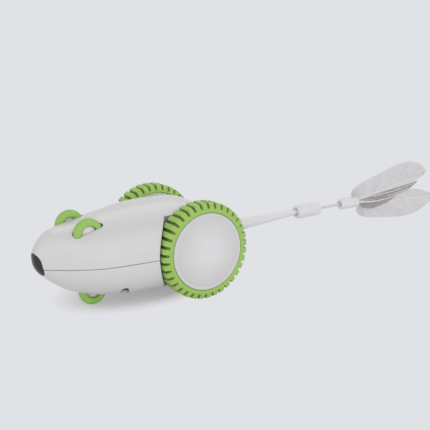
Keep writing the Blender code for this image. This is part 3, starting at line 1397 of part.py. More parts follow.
def tail_wire():
    """The spring wire between the sleeve and the ferrule."""
    start = tail_point(SLEEVE_Y + SLEEVE_LENGTH - WIRE_BITE)
    end = tail_point(FERRULE_Y + FERRULE_MOUTH + WIRE_BITE)
    return keep(rod("tail_wire", start, end, WIRE_R, tail_frame(), BORE_SIDES), STEEL)


def feather(name, quill_side, tip, widths, lean, bow):
    """A feather: a round quill that flattens into a cupped vane along a bowed line."""
    frame = tail_frame()
    along, up, across = frame.col[2].to_3d(), frame.col[0].to_3d(), frame.col[1].to_3d()
    mouth = tail_point(FERRULE_Y + FERRULE_LENGTH)
    offset = (across * quill_side[0] + up * quill_side[1]) * QUILL_OFFSET
    root = mouth - along * QUILL_BITE + offset
    end = mouth + Vector(tip)
    start = mouth + offset
    line = (end - start).normalized()
    flat = (Vector((math.sin(lean), 0, math.cos(lean))) - line * line.z * math.cos(lean)).normalized()
    normal = line.cross(flat)
    rings = [ring_at(root, along, up, across)]
    for share, width in VANE_SHARES:
        middle = start.lerp(end, share) + flat * bow * math.sin(math.pi * share) * share
        low, high = (QUILL_R + (span - QUILL_R) * width for span in widths)
        quill = QUILL_R + (QUILL_TIP_R - QUILL_R) * share
        blade = quill + (VANE_HALF_THICK - quill) * min(width * VANE_RISE, 1.0)
        ring = []
        for side, blade_share, quill_share in VANE_RING_SHARES:
            span = high if side > 0 else low
            lift = blade * blade_share + quill * quill_share - VANE_CUP * width * side * side
            ring.append(middle + flat * side * span + normal * lift)
        rings.append(ring)
    return keep(loft(name, rings, mouth), FEATHER_GREY)


def ring_at(centre, along, up, across):
    """The ring of a quill's cut end, with as many points as a vane's section."""
    ring = []
    for index in range(len(VANE_RING_SHARES)):
        angle = math.pi + math.tau * index / len(VANE_RING_SHARES)
        ring.append(centre + up * QUILL_R * math.cos(angle) - across * QUILL_R * math.sin(angle))
    return ring


# Assembly

def build():
    """Model every piece of the toy."""
    clear_scene()
    shared, cuts = shared_features(), shared_cuts()
    lower_shell(shared, cuts)
    upper_shell(shared, cuts)
    nose_lens()
    for side, word in SIDES:
        big_tyre(side, word)
        wheel_rim(side, word)
        hub_cap(side, word)
        wheel_axle(side, word)
        wheel_screw(side, word)
        axle_bush(side, word)
        drive_gears(side, word)
        gearbox(side, word)
        motor(side, word)
    idler_shaft()
    for name, centre in small_wheels():
        small_tyre(name, centre)
        small_hub(name, centre)
    half = small_axle_half()
    small_axle("roller_axle", -half, half, small_wheels()[0][1])
    small_axle("ear_axle", -EAR_X - half, EAR_X + half, small_wheels()[1][1])
    batteries()
    contact_plate("front_contact_plate", -1)
    contact_plate("rear_contact_plate", 1)
    battery_door()
    for name, x, y in post_places():
        screw(f"{name}_screw", x, y, SCREW_SEAT_Z - GAP, SCREW_HEAD, SCREW_LENGTH)
    screw("door_screw", 0.0, door_screw_y(), BELLY_FLAT_Z + DOOR_THICK / 2 - GAP, DOOR_THICK / 2 - GAP,
          DOOR_SCREW_LENGTH - DOOR_THICK)
    circuit_board()
    sensor("ir_emitter", 1, CREAM)
    sensor("ir_receiver", -1, DARK)
    power_switch()
    tail_stalk()
    rounded_sleeve("tail_sleeve", SLEEVE_Y, SLEEVE_LENGTH, SLEEVE_R, SLEEVE_ROUND,
                   (SLEEVE_MOUTH_R, SLEEVE_MOUTH, STALK_PEG_R + GAP, STALK_PEG),
                   (WIRE_R + GAP, WIRE_BITE + GAP), TAIL_GREY)
    tail_wire()
    rounded_sleeve("feather_ferrule", FERRULE_Y, FERRULE_LENGTH, FERRULE_R, FERRULE_ROUND,
                   (FERRULE_MOUTH_R, FERRULE_MOUTH, WIRE_R + GAP, FERRULE_MOUTH + WIRE_BITE + GAP),
                   (QUILL_BORE_R, QUILL_BITE + GAP), TAIL_GREY)
    for row in FEATHERS:
        feather(*row)


build()
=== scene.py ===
"""Looks of the automatic feather cat toy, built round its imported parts.

+X is the toy's left side, -Y its nose, +Y its feathers and +Z is up. Reaches are counted from
the drive axle. Each piece repeats the sizes of the solid that it stands for, apart from a few
small forms, such as the lens outline and the slots, that follow the photograph more closely.
"""

import json
import math
import random

import bmesh
import bpy
from mathutils import Matrix, Vector
from mathutils.bvhtree import BVHTree

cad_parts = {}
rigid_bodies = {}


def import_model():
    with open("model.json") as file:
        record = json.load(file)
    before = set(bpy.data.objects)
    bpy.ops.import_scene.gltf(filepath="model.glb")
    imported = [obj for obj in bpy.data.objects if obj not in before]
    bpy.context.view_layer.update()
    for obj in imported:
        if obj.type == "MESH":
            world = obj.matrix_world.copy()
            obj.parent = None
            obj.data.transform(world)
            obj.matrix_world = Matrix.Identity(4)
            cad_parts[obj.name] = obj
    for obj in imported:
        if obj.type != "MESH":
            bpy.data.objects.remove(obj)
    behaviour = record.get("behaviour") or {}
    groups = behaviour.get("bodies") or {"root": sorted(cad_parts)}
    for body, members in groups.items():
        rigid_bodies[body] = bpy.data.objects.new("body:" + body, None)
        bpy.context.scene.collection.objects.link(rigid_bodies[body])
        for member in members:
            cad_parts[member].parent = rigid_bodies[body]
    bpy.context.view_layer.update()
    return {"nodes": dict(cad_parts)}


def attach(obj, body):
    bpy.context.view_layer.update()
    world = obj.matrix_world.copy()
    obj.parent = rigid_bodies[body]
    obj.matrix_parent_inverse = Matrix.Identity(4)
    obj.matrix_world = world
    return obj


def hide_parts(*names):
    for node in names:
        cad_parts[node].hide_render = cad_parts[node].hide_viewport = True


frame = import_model()

MM = 0.001
SIDES = ((1, "left"), (-1, "right"))
GAP = 0.3 * MM
OVERRUN = 3.0 * MM
MERGE = 0.01 * MM

# Overall reach and body
NOSE_REACH = 119.3 * MM
TAIL_REACH = 288.0 * MM
AXLE_Y = (NOSE_REACH - TAIL_REACH) / 2
LENS_PROUD = 0.4 * MM
BODY_NOSE = NOSE_REACH - LENS_PROUD
BODY_REAR = 36.0 * MM
BODY_HALF_WIDTH = 43.4 * MM
BODY_TOP = 35.0 * MM
BODY_BELLY = 31.6 * MM
WALL = 1.8 * MM
SEAM_GAP = 0.45 * MM
SECTION_POWER = 2.4
BELLY_FLAT_Z = 7.6 * MM
# Shares of the reach, half width, height above and depth below the axle, from the nose to the axle
FRONT_SHARES = (
    (1.000, 0.000, 0.214, -0.237), (0.993, 0.090, 0.378, -0.046), (0.963, 0.189, 0.531, 0.152),
    (0.892, 0.353, 0.711, 0.415), (0.807, 0.544, 0.771, 0.633), (0.690, 0.747, 0.817, 0.794),
    (0.589, 0.843, 0.860, 0.880), (0.446, 0.926, 0.929, 0.953), (0.311, 0.982, 0.980, 0.991),
    (0.151, 1.000, 1.000, 1.000), (0.000, 0.982, 0.971, 0.987),
)
REAR_SHARES = (
    (0.333, 0.899, 0.854, 0.902), (0.611, 0.751, 0.669, 0.722), (0.833, 0.535, 0.429, 0.456),
    (0.961, 0.276, 0.206, 0.222), (1.000, 0.000, 0.000, 0.000),
)

# Wheels
WHEEL_R = 37.0 * MM
WHEEL_X = 39.1 * MM
LUG_COUNT = 36
LUG_HALF_ANGLE = math.radians(3.15)
ARCH_X = 29.8 * MM
ARCH_R = 38.2 * MM
ARCH_WALL = 1.6 * MM
BUSH_BORE_R = 3.7 * MM
SMALL_R = 11.6 * MM
SMALL_SECTION_R = 3.55 * MM
SMALL_BORE_R = 6.4 * MM
SMALL_HUB_EDGE = 1.3 * MM
SMALL_HUB_DOME = 3.2 * MM
SMALL_AXLE_R = 1.0 * MM
SMALL_BOSS_R = 1.8 * MM
SMALL_BOSS_GAP = 0.25 * MM
SMALL_AXLE_BITE = 1.1 * MM
SMALL_PIN_HALF = SMALL_HUB_DOME + SMALL_BOSS_GAP + SMALL_AXLE_BITE
SLOT_GAP = 0.4 * MM
SLOT_HALF = SMALL_SECTION_R + SLOT_GAP
SLOT_BACK_ROOM = 1.0 * MM
SLOT_R = SMALL_R + SLOT_GAP + SLOT_BACK_ROOM
SLOT_WALL = 1.4 * MM
ROLLER_Y = -73.966 * MM
EAR_X = 16.0 * MM
EAR_Y = -81.601 * MM
EAR_Z = 59.9 * MM

# Lens, battery bay, posts and switch
LENS_HALF_WIDTH = 7.2 * MM
LENS_HALF_HEIGHT = 7.8 * MM
LENS_Z = 38.9 * MM
LENS_TILT = math.radians(13)
LENS_DEPTH = 7.5 * MM
LENS_POWER = 2.7
LENS_EDGE_R = 0.45 * MM
BATTERY_LENGTH = 44.5 * MM
BATTERY_Y = -30.016 * MM
BATTERY_Z = 15.85 * MM
BATTERY_PITCH = 11.2 * MM
BAY_HALF = (16.8 * MM, 24.25 * MM)
BAY_ROOF_Z = 21.4 * MM
BAY_WALL = 1.2 * MM
DOOR_LEDGE = 1.4 * MM
DOOR_CORNER = 3.0 * MM
DOOR_TOP_Z = 10.0 * MM
LEDGE_Z = 10.3 * MM
TAB_HALF = 4.2 * MM
TAB_REACH = 8.0 * MM
TAB_CORNER = 2.0 * MM
DOOR_SCREW_Y = BATTERY_Y + BAY_HALF[1] + DOOR_LEDGE + 3.8 * MM
POST_R = 4.4 * MM
SCREW_R = 1.25 * MM
SCREW_HEAD_R = 2.4 * MM
SCREW_CROSS = (1.35 * MM, 0.28 * MM)
SCREW_RECESS_R = 3.2 * MM
SCREW_SEAT_Z = 24.0 * MM
POSTS = ((21.0 * MM, -58.0 * MM, "front"), (18.5 * MM, 20.5 * MM, "rear"))
FLANK_RECESS = (28.6 * MM, -61.4 * MM)
FLANK_RECESS_R = 3.0 * MM
FLANK_RECESS_Z = 19.5 * MM
SWITCH_X = 11.5 * MM
SWITCH_Y = 1.034 * MM
SWITCH_SEAT_HALF = (3.3 * MM, 5.3 * MM)
KNOB_HALF = (2.2 * MM, 2.6 * MM)
KNOB_STEM_HALF = 0.9 * MM
KNOB_TRAVEL = 3.0 * MM

# Tail
TAIL_RIB_Y = (27.1 * MM, 28.7 * MM)
STALK_TIP_Y = 116.0 * MM
TAIL_DROOP = math.radians(1.9)
SLEEVE_Y = 117.6 * MM
FERRULE_Y = 166.0 * MM

ALONG_X = Matrix(((0, 0, 1, 0), (1, 0, 0, 0), (0, 1, 0, 0), (0, 0, 0, 1)))
ALONG_Y = Matrix(((0, 1, 0, 0), (0, 0, 1, 0), (1, 0, 0, 0), (0, 0, 0, 1)))
UPRIGHT = Matrix.Identity(4)
LENS_FRAME = Matrix.Rotation(-LENS_TILT, 4, "X") @ ALONG_Y
TAIL_FRAME = Matrix.Rotation(-TAIL_DROOP, 4, "X") @ ALONG_Y
AXLE = Vector((0, AXLE_Y, WHEEL_R))

WORKSHOP = bpy.data.collections.new("workshop")
bpy.context.scene.collection.children.link(WORKSHOP)


# Materials

def srgb(red, green, blue):
    """Linear colour of one written in the usual 0 to 255 steps."""
    shares = [level / 255 for level in (red, green, blue)]
    return tuple(share / 12.92 if share <= 0.04045 else ((share + 0.055) / 1.055) ** 2.4
                 for share in shares)


def feed(tree, socket, value):
    """Join an output to an input, or give the input a plain value."""
    if isinstance(value, bpy.types.NodeSocket):
        tree.links.new(value, socket)
    else:
        socket.default_value = (*value, 1.0) if socket.type == "RGBA" else value


def add(tree, kind, **values):
    """Add a node and fill its properties and inputs by name."""
    node = tree.nodes.new(f"ShaderNode{kind}")
    for key, value in values.items():
        if hasattr(node, key):
            setattr(node, key, value)
        else:
            feed(tree, node.inputs[key.replace("_", " ")], value)
    return node


def own_point(tree):
    """The point in the piece's own coordinates."""
    return add(tree, "TexCoord").outputs["Object"]


def noise(tree, scale, detail=3.0, point=None):
    """Noise, on the piece's own coordinates if no others are given."""
    return add(tree, "TexNoise", Scale=scale, Detail=detail, Vector=point or own_point(tree)).outputs["Fac"]


def ranged(tree, value, low, high, start=0.3, end=0.7):
    """Map a value onto a range."""
    node = add(tree, "MapRange", Value=value, From_Min=start, From_Max=end, To_Min=low, To_Max=high)
    return node.outputs["Result"]


def mixed(tree, share, first, second):
    """Mix two colours, each a plain colour or an output."""
    node = add(tree, "Mix", data_type="RGBA", Factor=share)
    feed(tree, node.inputs[6], first)
    feed(tree, node.inputs[7], second)
    return node.outputs[2]


def blended(tree, share, first, second):
    """Mix two shaders by the share of the second."""
    node = add(tree, "MixShader", Fac=share)
    feed(tree, node.inputs[1], first)
    feed(tree, node.inputs[2], second)
    return node.outputs["Shader"]


def maths(tree, operation, *values, kind="Math", result="Value"):
    """One step of arithmetic on outputs or plain values."""
    node = add(tree, kind, operation=operation)
    for socket, value in zip(node.inputs, values):
        feed(tree, socket, value)
    return node.outputs[result]


def material(name, colour, roughness, metallic=0.0, spread=0.03, patch=120.0, grain=2500.0,
             relief=0.02, edge=0.0, rough_spread=0.12):
    """A moulded or metal finish: slow colour drift, uneven gloss, fine grain and soft edges."""
    made = bpy.data.materials.new(name)
    made.use_nodes = True
    tree = made.node_tree
    dark, light = (tuple(min(level * share, 1.0) for level in colour) for share in (1 - spread, 1 + spread))
    fine = noise(tree, grain, 5.0)
    bump = add(tree, "Bump", Strength=relief, Distance=0.2 * MM, Height=fine)
    if edge:
        feed(tree, bump.inputs["Normal"], add(tree, "Bevel", samples=6, Radius=edge).outputs["Normal"])
    gloss = ranged(tree, fine, roughness * (1 - rough_spread), roughness * (1 + rough_spread))
    shader = tree.nodes["Principled BSDF"].inputs
    feed(tree, shader["Metallic"], metallic)
    feed(tree, shader["Base Color"], mixed(tree, noise(tree, patch), dark, light))
    feed(tree, shader["Roughness"], gloss)
    feed(tree, shader["Normal"], bump.outputs["Normal"])
    return made


def tint(made, share, colour):
    """Mix a colour into a material where an output says so."""
    tree = made.node_tree
    socket = tree.nodes["Principled BSDF"].inputs["Base Color"]
    feed(tree, socket, mixed(tree, share, socket.links[0].from_socket, colour))


def attribute(made, name):
    """A number kept on the mesh's points."""
    return add(made.node_tree, "Attribute", attribute_name=name).outputs["Fac"]


def own_axes(made):
    """The point's places on the piece's own axes."""
    return add(made.node_tree, "SeparateXYZ", Vector=own_point(made.node_tree)).outputs


def spin_radius(made):
    """Distance from the piece's own Z axis."""
    tree, axes = made.node_tree, own_axes(made)
    squares = [maths(tree, "MULTIPLY", axes[axis], axes[axis]) for axis in "XY"]
    return maths(tree, "SQRT", maths(tree, "ADD", *squares))


WHITE = material("white_plastic", (0.765, 0.765, 0.775), 0.17, spread=0.012, patch=60.0, edge=0.45 * MM)
# Painted shade: a darker grey for the walls of the wheel arches and of the small wheels' slots.
WELL_SHADE = material("well_painted_shade", (0.36, 0.32, 0.33), 0.45, spread=0.06, patch=150.0, relief=0.1)
# Painted shade: the screw recesses' walls, pale low down and dark from 11.2 to 12.3 mm up.
RECESS_SHADE = material("recess_painted_shade", (0.70, 0.70, 0.70), 0.45, spread=0.06, patch=150.0, relief=0.1)
WHITE_HUB = material("white_hub", (0.78, 0.78, 0.79), 0.30, spread=0.015)
GREEN = material("green_rubber", srgb(164, 207, 100), 0.50, spread=0.05, patch=220.0, grain=4000.0,
                 relief=0.10)
GREEN_SMALL = material("green_rubber_small", srgb(160, 207, 102), 0.46, spread=0.05, patch=260.0,
                       grain=4000.0, relief=0.10)
SILVER = material("silver_cap", (0.825, 0.83, 0.85), 0.30, spread=0.02, patch=40.0, grain=5000.0)
WIRE = material("spring_wire", (0.72, 0.71, 0.72), 0.38, 0.35, spread=0.04, patch=300.0, relief=0.04)
RIM = material("rim_plastic", (0.74, 0.74, 0.75), 0.34, spread=0.015)
LENS = material("lens_dark", (0.030, 0.020, 0.021), 0.07, spread=0.10, relief=0.0, rough_spread=0.3)
TAIL = material("tail_grey", (0.82, 0.815, 0.84), 0.30, spread=0.02, patch=90.0, grain=1200.0)
STEEL = material("steel", (0.56, 0.57, 0.58), 0.28, 1.0, spread=0.05, patch=300.0, relief=0.04)
BRASS = material("bush_brass", (0.66, 0.48, 0.20), 0.34, 1.0, spread=0.06, patch=300.0, relief=0.04)
CREAM = material("gear_acetal", (0.76, 0.72, 0.58), 0.42, spread=0.04, patch=200.0, relief=0.03,
                 edge=0.15 * MM)
BOARD = material("board_green", (0.02, 0.17, 0.06), 0.40, spread=0.10, patch=500.0, relief=0.05)
BLACK = material("black_plastic", (0.020, 0.020, 0.022), 0.42, spread=0.08, relief=0.15, edge=0.2 * MM)
DIODE = material("diode_clear", (0.62, 0.60, 0.52), 0.12, relief=0.0)
CELL = material("battery_case", (0.035, 0.075, 0.24), 0.30, 0.2, spread=0.05, patch=150.0)
QUILL = material("quill", (0.90, 0.89, 0.89), 0.40, spread=0.05, patch=300.0, grain=1200.0)

# Painted shade: the grooves' floors and the lip's inner wall are tinted dark brown-green by the tyre's groove
# share.
GROOVE_SHADE = 0.84
GROOVE_SHADE_COLOUR = (0.150, 0.122, 0.046)
ROOT_SHADE_COLOUR = (0.40, 0.37, 0.375)
FLOOR_COLOUR = srgb(224, 226, 230)
FLOOR_PLAIN = (0.76, 0.76, 0.77)
FLOOR_BRIGHT = (0.90, 0.95, 1.0)
FLOOR_WARM = (0.74, 0.67, 0.665)
FLOOR_GLOW_SHARE = 0.40
FLOOR_HALF = 6.0
FADE_CENTRE = (-0.012, -0.120, 0.0)
FADE_SIZE = (0.048, 0.064, 1.0)
FADE_REACH = (0.45, 1.05)
SKY_STRENGTH = 0.73
SKY_LIFT = 0.40
SKY_SIDE = (0.86, -0.22, 0.10)
SKY_COLOUR = (1.0, 0.99, 0.985)
CEILING_SHARE = 0.30
CEILING_EDGE = (0.76, 0.88)
CAMERA_PLACE = (0.61597, -0.43906, 0.24440)
CAMERA_TURNS = ((57.49, "Z"), (75.03, "X"), (-2.42, "Z"))
CAMERA_LENS = 78.78


# Modelling helpers

def place(x, y, z):
    """A point at a reach behind the drive axle."""
    return Vector((x, AXLE_Y + y, z))


def small_wheels():
    """Name, also of the body, and centre of the roller and of the two ears."""
    rows = [("roller", place(0, ROLLER_Y, SMALL_R))]
    return rows + [(f"{word}_ear", place(side * EAR_X, EAR_Y, EAR_Z)) for side, word in SIDES]


def post_places():
    """Name and place of the four posts, the front ones first."""
    return [(f"{label}_{word}", side * x, y) for x, y, label in POSTS for side, word in SIDES]


def skin(name, points, faces, world=UPRIGHT):
    """An object from points and faces."""
    mesh = bpy.data.meshes.new(name)
    mesh.from_pydata([tuple(point) for point in points], [], faces)
    bm = bmesh.new()
    bm.from_mesh(mesh)
    bmesh.ops.recalc_face_normals(bm, faces=bm.faces)
    bm.to_mesh(mesh)
    bm.free()
    obj = bpy.data.objects.new(name, mesh)
    obj.matrix_world = world
    WORKSHOP.objects.link(obj)
    return obj


def loft(name, rings, world=UPRIGHT, closed=False, caps=(), halved=False):
    """A skin over rings of points, any of which can be a single point. Halved makes it of triangles."""
    points, rows = [], []
    for ring in rings:
        rows.append(range(len(points), len(points) + len(ring)))
        points += ring
    faces = [tuple(rows[end]) for end in caps]
    for first, second in zip(rows, rows[1:] + (rows[:1] if closed else [])):
        steps = max(len(first), len(second))
        for i in range(steps):
            after = (i + 1) % steps
            face = tuple(dict.fromkeys((first[i % len(first)], first[after % len(first)],
                                        second[after % len(second)], second[i % len(second)])))
            if halved and len(face) == 4:
                faces += [face[:3], (face[0], face[2], face[3])]
            elif len(face) > 2:
                faces.append(face)
    return skin(name, points, faces, world)


def near_line(point, start, end):
    """Whether a point lies, in plan, within the long recess between two places or on its wall."""
    along = (end - start).xy
    share = min(max((point - start).xy.dot(along) / along.length_squared, 0.0), 1.0)
    return ((point - start).xy - along * share).length < FLANK_RECESS_R + 0.3 * MM


def inside_slot(offset):
    """Whether an offset from a small wheel's centre lies in its slot or on the slot's wall."""
    behind = max(offset.y - SLOT_BACK_ROOM, 0.0) if offset.y > 0 else offset.y
    ring = max(math.hypot(behind, offset.z) - (SMALL_R - SMALL_SECTION_R), 0.0)
    return math.hypot(offset.x, ring) < SLOT_HALF + 0.03 * MM


def paint_well_shade(obj):
    """Paint shade on the walls of the arches and slots with a darker grey, and give the walls of the screw
    recesses a material with painted shade towards their top.
    """
    obj.data.materials.append(WELL_SHADE)
    obj.data.materials.append(RECESS_SHADE)
    x_out, y_out = FLANK_RECESS
    recesses = [(place(x, y, 0), place(math.copysign(x_out, x), y_out, 0)) for _, x, y in post_places()[:2]]
    for face in obj.data.polygons:
        point = face.center
        in_arch = abs(point.x) > ARCH_X - MERGE and (point - AXLE).yz.length < ARCH_R + 0.1 * MM
        in_slot = any(inside_slot(point - centre) for _, centre in small_wheels())
        in_recess = point.z < SCREW_SEAT_Z + MERGE and any(near_line(point, *line) for line in recesses)
        if in_arch or in_slot:
            face.material_index = 1
        elif in_recess and abs(face.normal.z) < 0.2:
            face.material_index = 2


def finish(obj, body, made, slot, *nodes, sharp=32):
    """Make modifiers final, smooth the piece, give it its body and material, and hide the solids that it
    stands for.
    """
    bpy.context.view_layer.update()
    if obj.modifiers:
        evaluated = obj.evaluated_get(bpy.context.evaluated_depsgraph_get())
        mesh = bpy.data.meshes.new_from_object(evaluated)
        obj.modifiers.clear()
        obj.data = mesh
    obj.data.materials.clear()
    obj.data.materials.append(made)
    obj.data.shade_smooth()
    obj.data.set_sharp_from_angle(angle=math.radians(sharp))
    WORKSHOP.objects.unlink(obj)
    bpy.context.scene.collection.objects.link(obj)
    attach(obj, body)
    if nodes:
        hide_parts(*nodes)


def combine(target, operation, *tools):
    """Cut, join or intersect a target with each tool in turn."""
    for piece in tools:
        modifier = target.modifiers.new(piece.name, "BOOLEAN")
        modifier.operation = operation
        modifier.object = piece
        modifier.solver = "EXACT"


def box(name, low, high, corner=0.0):
    """A box between two corners, whose upright edges can be rounded."""
    bm = bmesh.new()
    bmesh.ops.create_cube(bm, size=1.0)
    bmesh.ops.scale(bm, vec=high - low, verts=bm.verts)
    if corner:
        upright = [edge for edge in bm.edges if abs(edge.verts[0].co.z - edge.verts[1].co.z) > MERGE]
        bmesh.ops.bevel(bm, geom=upright, offset=corner, segments=6, profile=0.5, affect="EDGES")
    mesh = bpy.data.meshes.new(name)
    bm.to_mesh(mesh)
    bm.free()
    obj = bpy.data.objects.new(name, mesh)
    obj.location = (low + high) / 2
    WORKSHOP.objects.link(obj)
    return obj


def rib(name, low, high, corner=0.0):
    """A box, given by two corners counted from the axle."""
    return box(name, place(*low), place(*high), corner)


def ring_points(radius, height, steps):
    """Points round a circle at a height."""
    return [(radius * math.cos(math.tau * i / steps), radius * math.sin(math.tau * i / steps), height)
            for i in range(steps)]


def lathe(name, profile, centre, turn=ALONG_X, steps=96, closed=False, side=1):
    """Turn rows of radius and height about the frame's Z axis."""
    rings = [[(0, 0, height * side)] if radius < MERGE else ring_points(radius, height * side, steps)
             for radius, height in profile]
    return loft(name, rings, Matrix.Translation(centre) @ turn, closed)


def rounded(corners, closed=False, steps=4, unit=MM):
    """A profile with rounded corners. Each corner is a radius, a height and a fillet."""
    points = []
    count = len(corners)
    for i, (x, y, fillet) in enumerate(corners):
        here = Vector((x, y))
        if not fillet or (not closed and i in (0, count - 1)):
            points.append((x * unit, y * unit))
            continue
        back = Vector(corners[i - 1][:2]) - here
        ahead = Vector(corners[(i + 1) % count][:2]) - here
        reach = min(fillet / math.tan(back.angle(ahead) / 2), 0.48 * back.length, 0.48 * ahead.length)
        for step in range(steps + 1):
            t = step / steps
            point = here + back.normalized() * reach * (1 - t) ** 2 + ahead.normalized() * reach * t * t
            points.append((point.x * unit, point.y * unit))
    return points


def rod(name, start, end, section, turn=UPRIGHT, steps=32):
    """A prism between two points along its frame's Z axis. Its section is a radius or an outline."""
    half = (end - start).length / 2
    if isinstance(section, float):
        section = [point[:2] for point in ring_points(section, 0, steps)]
    rings = [[(x, y, z) for x, y in section] for z in (-half, half)]
    return loft(name, rings, Matrix.Translation((start + end) / 2) @ turn, caps=(0, 1))


def across_rod(name, centre, low_x, high_x, radius, steps=32):
    """A cylinder across the toy, between two distances off the middle."""
    ends = [Vector((x, centre.y, centre.z)) for x in (low_x, high_x)]
    return rod(name, *ends, radius, ALONG_X, steps)


def along_rod(name, front, rear, radius, steps):
    """A cylinder along the toy, in the middle and at the axle's height."""
    return rod(name, place(0, front, WHEEL_R), place(0, rear, WHEEL_R), radius, ALONG_Y, steps)


def upright_rod(name, x, y, low, high, radius, steps=24):
    """An upright cylinder."""
    return rod(name, place(x, y, low), place(x, y, high), radius, UPRIGHT, steps)


def smooth_rows(rows, steps):
    """Rows of numbers with more rows between them, on a smooth curve through all of them."""
    padded = [rows[0], *rows, rows[-1]]
    result = []
    for before, start, end, after in zip(padded, padded[1:], padded[2:], padded[3:]):
        for step in range(steps):
            t = step / steps
            result.append(tuple(
                b + t * (c - a) / 2 + t * t * (a - 2.5 * b + 2 * c - d / 2)
                + t ** 3 * (1.5 * (b - c) + (d - a) / 2)
                for a, b, c, d in zip(before, start, end, after)))
    return result + [rows[-1]]


def oval(radii, power, count):
    """Points round a superellipse with two radii."""
    points = []
    for index in range(count):
        angle = math.tau * index / count
        across, up = math.cos(angle), math.sin(angle)
        points.append((math.copysign(abs(across) ** (2 / power), across) * radii[0],
                       math.copysign(abs(up) ** (2 / power), up) * radii[1]))
    return points


# Body shells

def body_form(name, inset=0.0, sides=120, steps=7, forward=0.0):
    """The mouse-shaped solid, or with an inset the space that leaves its wall."""
    rows = [(-row[0], 0.0, *row[1:]) for row in FRONT_SHARES]
    rows += [(0.0, row[0], *row[1:]) for row in REAR_SHARES]
    rings = []
    for front, rear, width, top, belly in smooth_rows(rows, steps):
        y = front * (BODY_NOSE - inset) + rear * (BODY_REAR - inset) - forward
        high = WHEEL_R + top * (BODY_TOP - inset)
        low = WHEEL_R - belly * (BODY_BELLY - inset)
        middle = (high + low) / 2
        half_width = max(width, 0.0) * (BODY_HALF_WIDTH - inset)
        if half_width < MERGE:
            rings.append([place(0, y, middle)])
        else:
            section = oval((half_width, (high - low) / 2), SECTION_POWER, sides)
            rings.append([place(x, y, middle + z) for x, z in section])
    return loft(name, rings, halved=True)


def lens_oval(name, share, gap, depth):
    """A share of the lens's oval with a gap round it, from ahead of the nose to a depth behind its tip."""
    radii = [radius * share + gap for radius in (LENS_HALF_HEIGHT, LENS_HALF_WIDTH)]
    back = place(0, depth - NOSE_REACH, LENS_Z)
    front = back - LENS_FRAME.col[2].to_3d() * (depth + LENS_DEPTH + OVERRUN)
    return rod(name, front, back, oval(radii, LENS_POWER, 96), LENS_FRAME)


def shared_features():
    """Solids inside both shells: the arch walls, posts, the lens seat and the tail's rib."""
    width, top = BODY_HALF_WIDTH, WHEEL_R + BODY_TOP
    return [
        *(across_rod(f"{word}_arch_wall", AXLE, side * (ARCH_X - ARCH_WALL), side * (width + OVERRUN),
                     ARCH_R + ARCH_WALL, 64) for side, word in SIDES),
        *(upright_rod(f"{post}_post", x, y, -OVERRUN, top + OVERRUN, POST_R) for post, x, y in post_places()),
        rib("lens_block", (-width, -NOSE_REACH - OVERRUN, 0), (width, LENS_DEPTH + WALL - NOSE_REACH, top)),
        rib("tail_rib", (-width, TAIL_RIB_Y[0], 0), (width, TAIL_RIB_Y[1], top)),
    ]


def shared_cuts():
    """Spaces in both shells: arches, lens seat and window, bush bores and the tail's opening."""
    seat = LENS_DEPTH + GAP
    return [
        *(across_rod(f"{word}_arch", AXLE, side * ARCH_X, side * (BODY_HALF_WIDTH + OVERRUN), ARCH_R, 144)
          for side, word in SIDES),
        lens_oval("lens_seat", 1, GAP, seat),
        lens_oval("lens_window", 0.72, 0, seat + WALL + OVERRUN),
        across_rod("bush_bore", AXLE, -ARCH_X - OVERRUN, ARCH_X + OVERRUN, BUSH_BORE_R),
        along_rod("tail_bore", 29.0 * MM, BODY_REAR + OVERRUN, 6.4 * MM, 64),
        along_rod("tail_stub_bore", 22.0 * MM, 29.2 * MM, 4.9 * MM, 48),
    ]


def slot_box(name, centre, rise):
    """Walls round a small wheel's slot, out to the skin on the side that it rises from."""
    reach = SLOT_R + SLOT_WALL
    half = Vector((SLOT_HALF + SLOT_WALL, reach, reach))
    low, high = centre - half, centre + half
    if rise > 0:
        high.z = WHEEL_R + BODY_TOP + OVERRUN
    else:
        low.z = -OVERRUN
    return box(f"{name}_box", low, high)


def slot_cut(name, centre):
    """The slot that a small wheel turns in: close round the tyre, with a little more room behind."""
    middle = SMALL_R - SMALL_SECTION_R
    angles = [math.pi * (0.5 - i / 24) for i in range(25)]
    profile = [(middle + SLOT_HALF * math.cos(angle), SLOT_HALF * math.sin(angle)) for angle in angles]
    cut = lathe(f"{name}_slot", [(0, SLOT_HALF), *profile, (0, -SLOT_HALF)], centre)
    for vertex in cut.data.vertices:
        if vertex.co.x > MERGE:
            vertex.co.x += SLOT_BACK_ROOM
    return cut


def bosses(name, centre):
    """Bosses that carry a small wheel's axle."""
    face = SMALL_HUB_DOME + SMALL_BOSS_GAP
    far = SLOT_HALF + SLOT_WALL - GAP
    return [across_rod(f"{name}_{word}_boss", centre, centre.x + side * face, centre.x + side * far,
                       SMALL_BOSS_R) for side, word in SIDES]


def flank_slot(name, side, radius, rise):
    """A long round-ended prism from a front screw's recess out to where it breaks the flank."""
    start = Vector((side * POSTS[0][0], POSTS[0][1]))
    end = Vector((side * FLANK_RECESS[0], FLANK_RECESS[1]))
    heading = math.atan2(end.y - start.y, end.x - start.x)
    count = 20
    outline = []
    for centre, first in ((end - start, -math.pi / 2), (Vector((0, 0)), math.pi / 2)):
        for i in range(count + 1):
            angle = heading + first + math.pi * i / count
            outline.append((centre.x + radius * math.cos(angle), centre.y + radius * math.sin(angle)))
    return rod(name, place(*start, -OVERRUN), place(*start, FLANK_RECESS_Z + rise), outline)


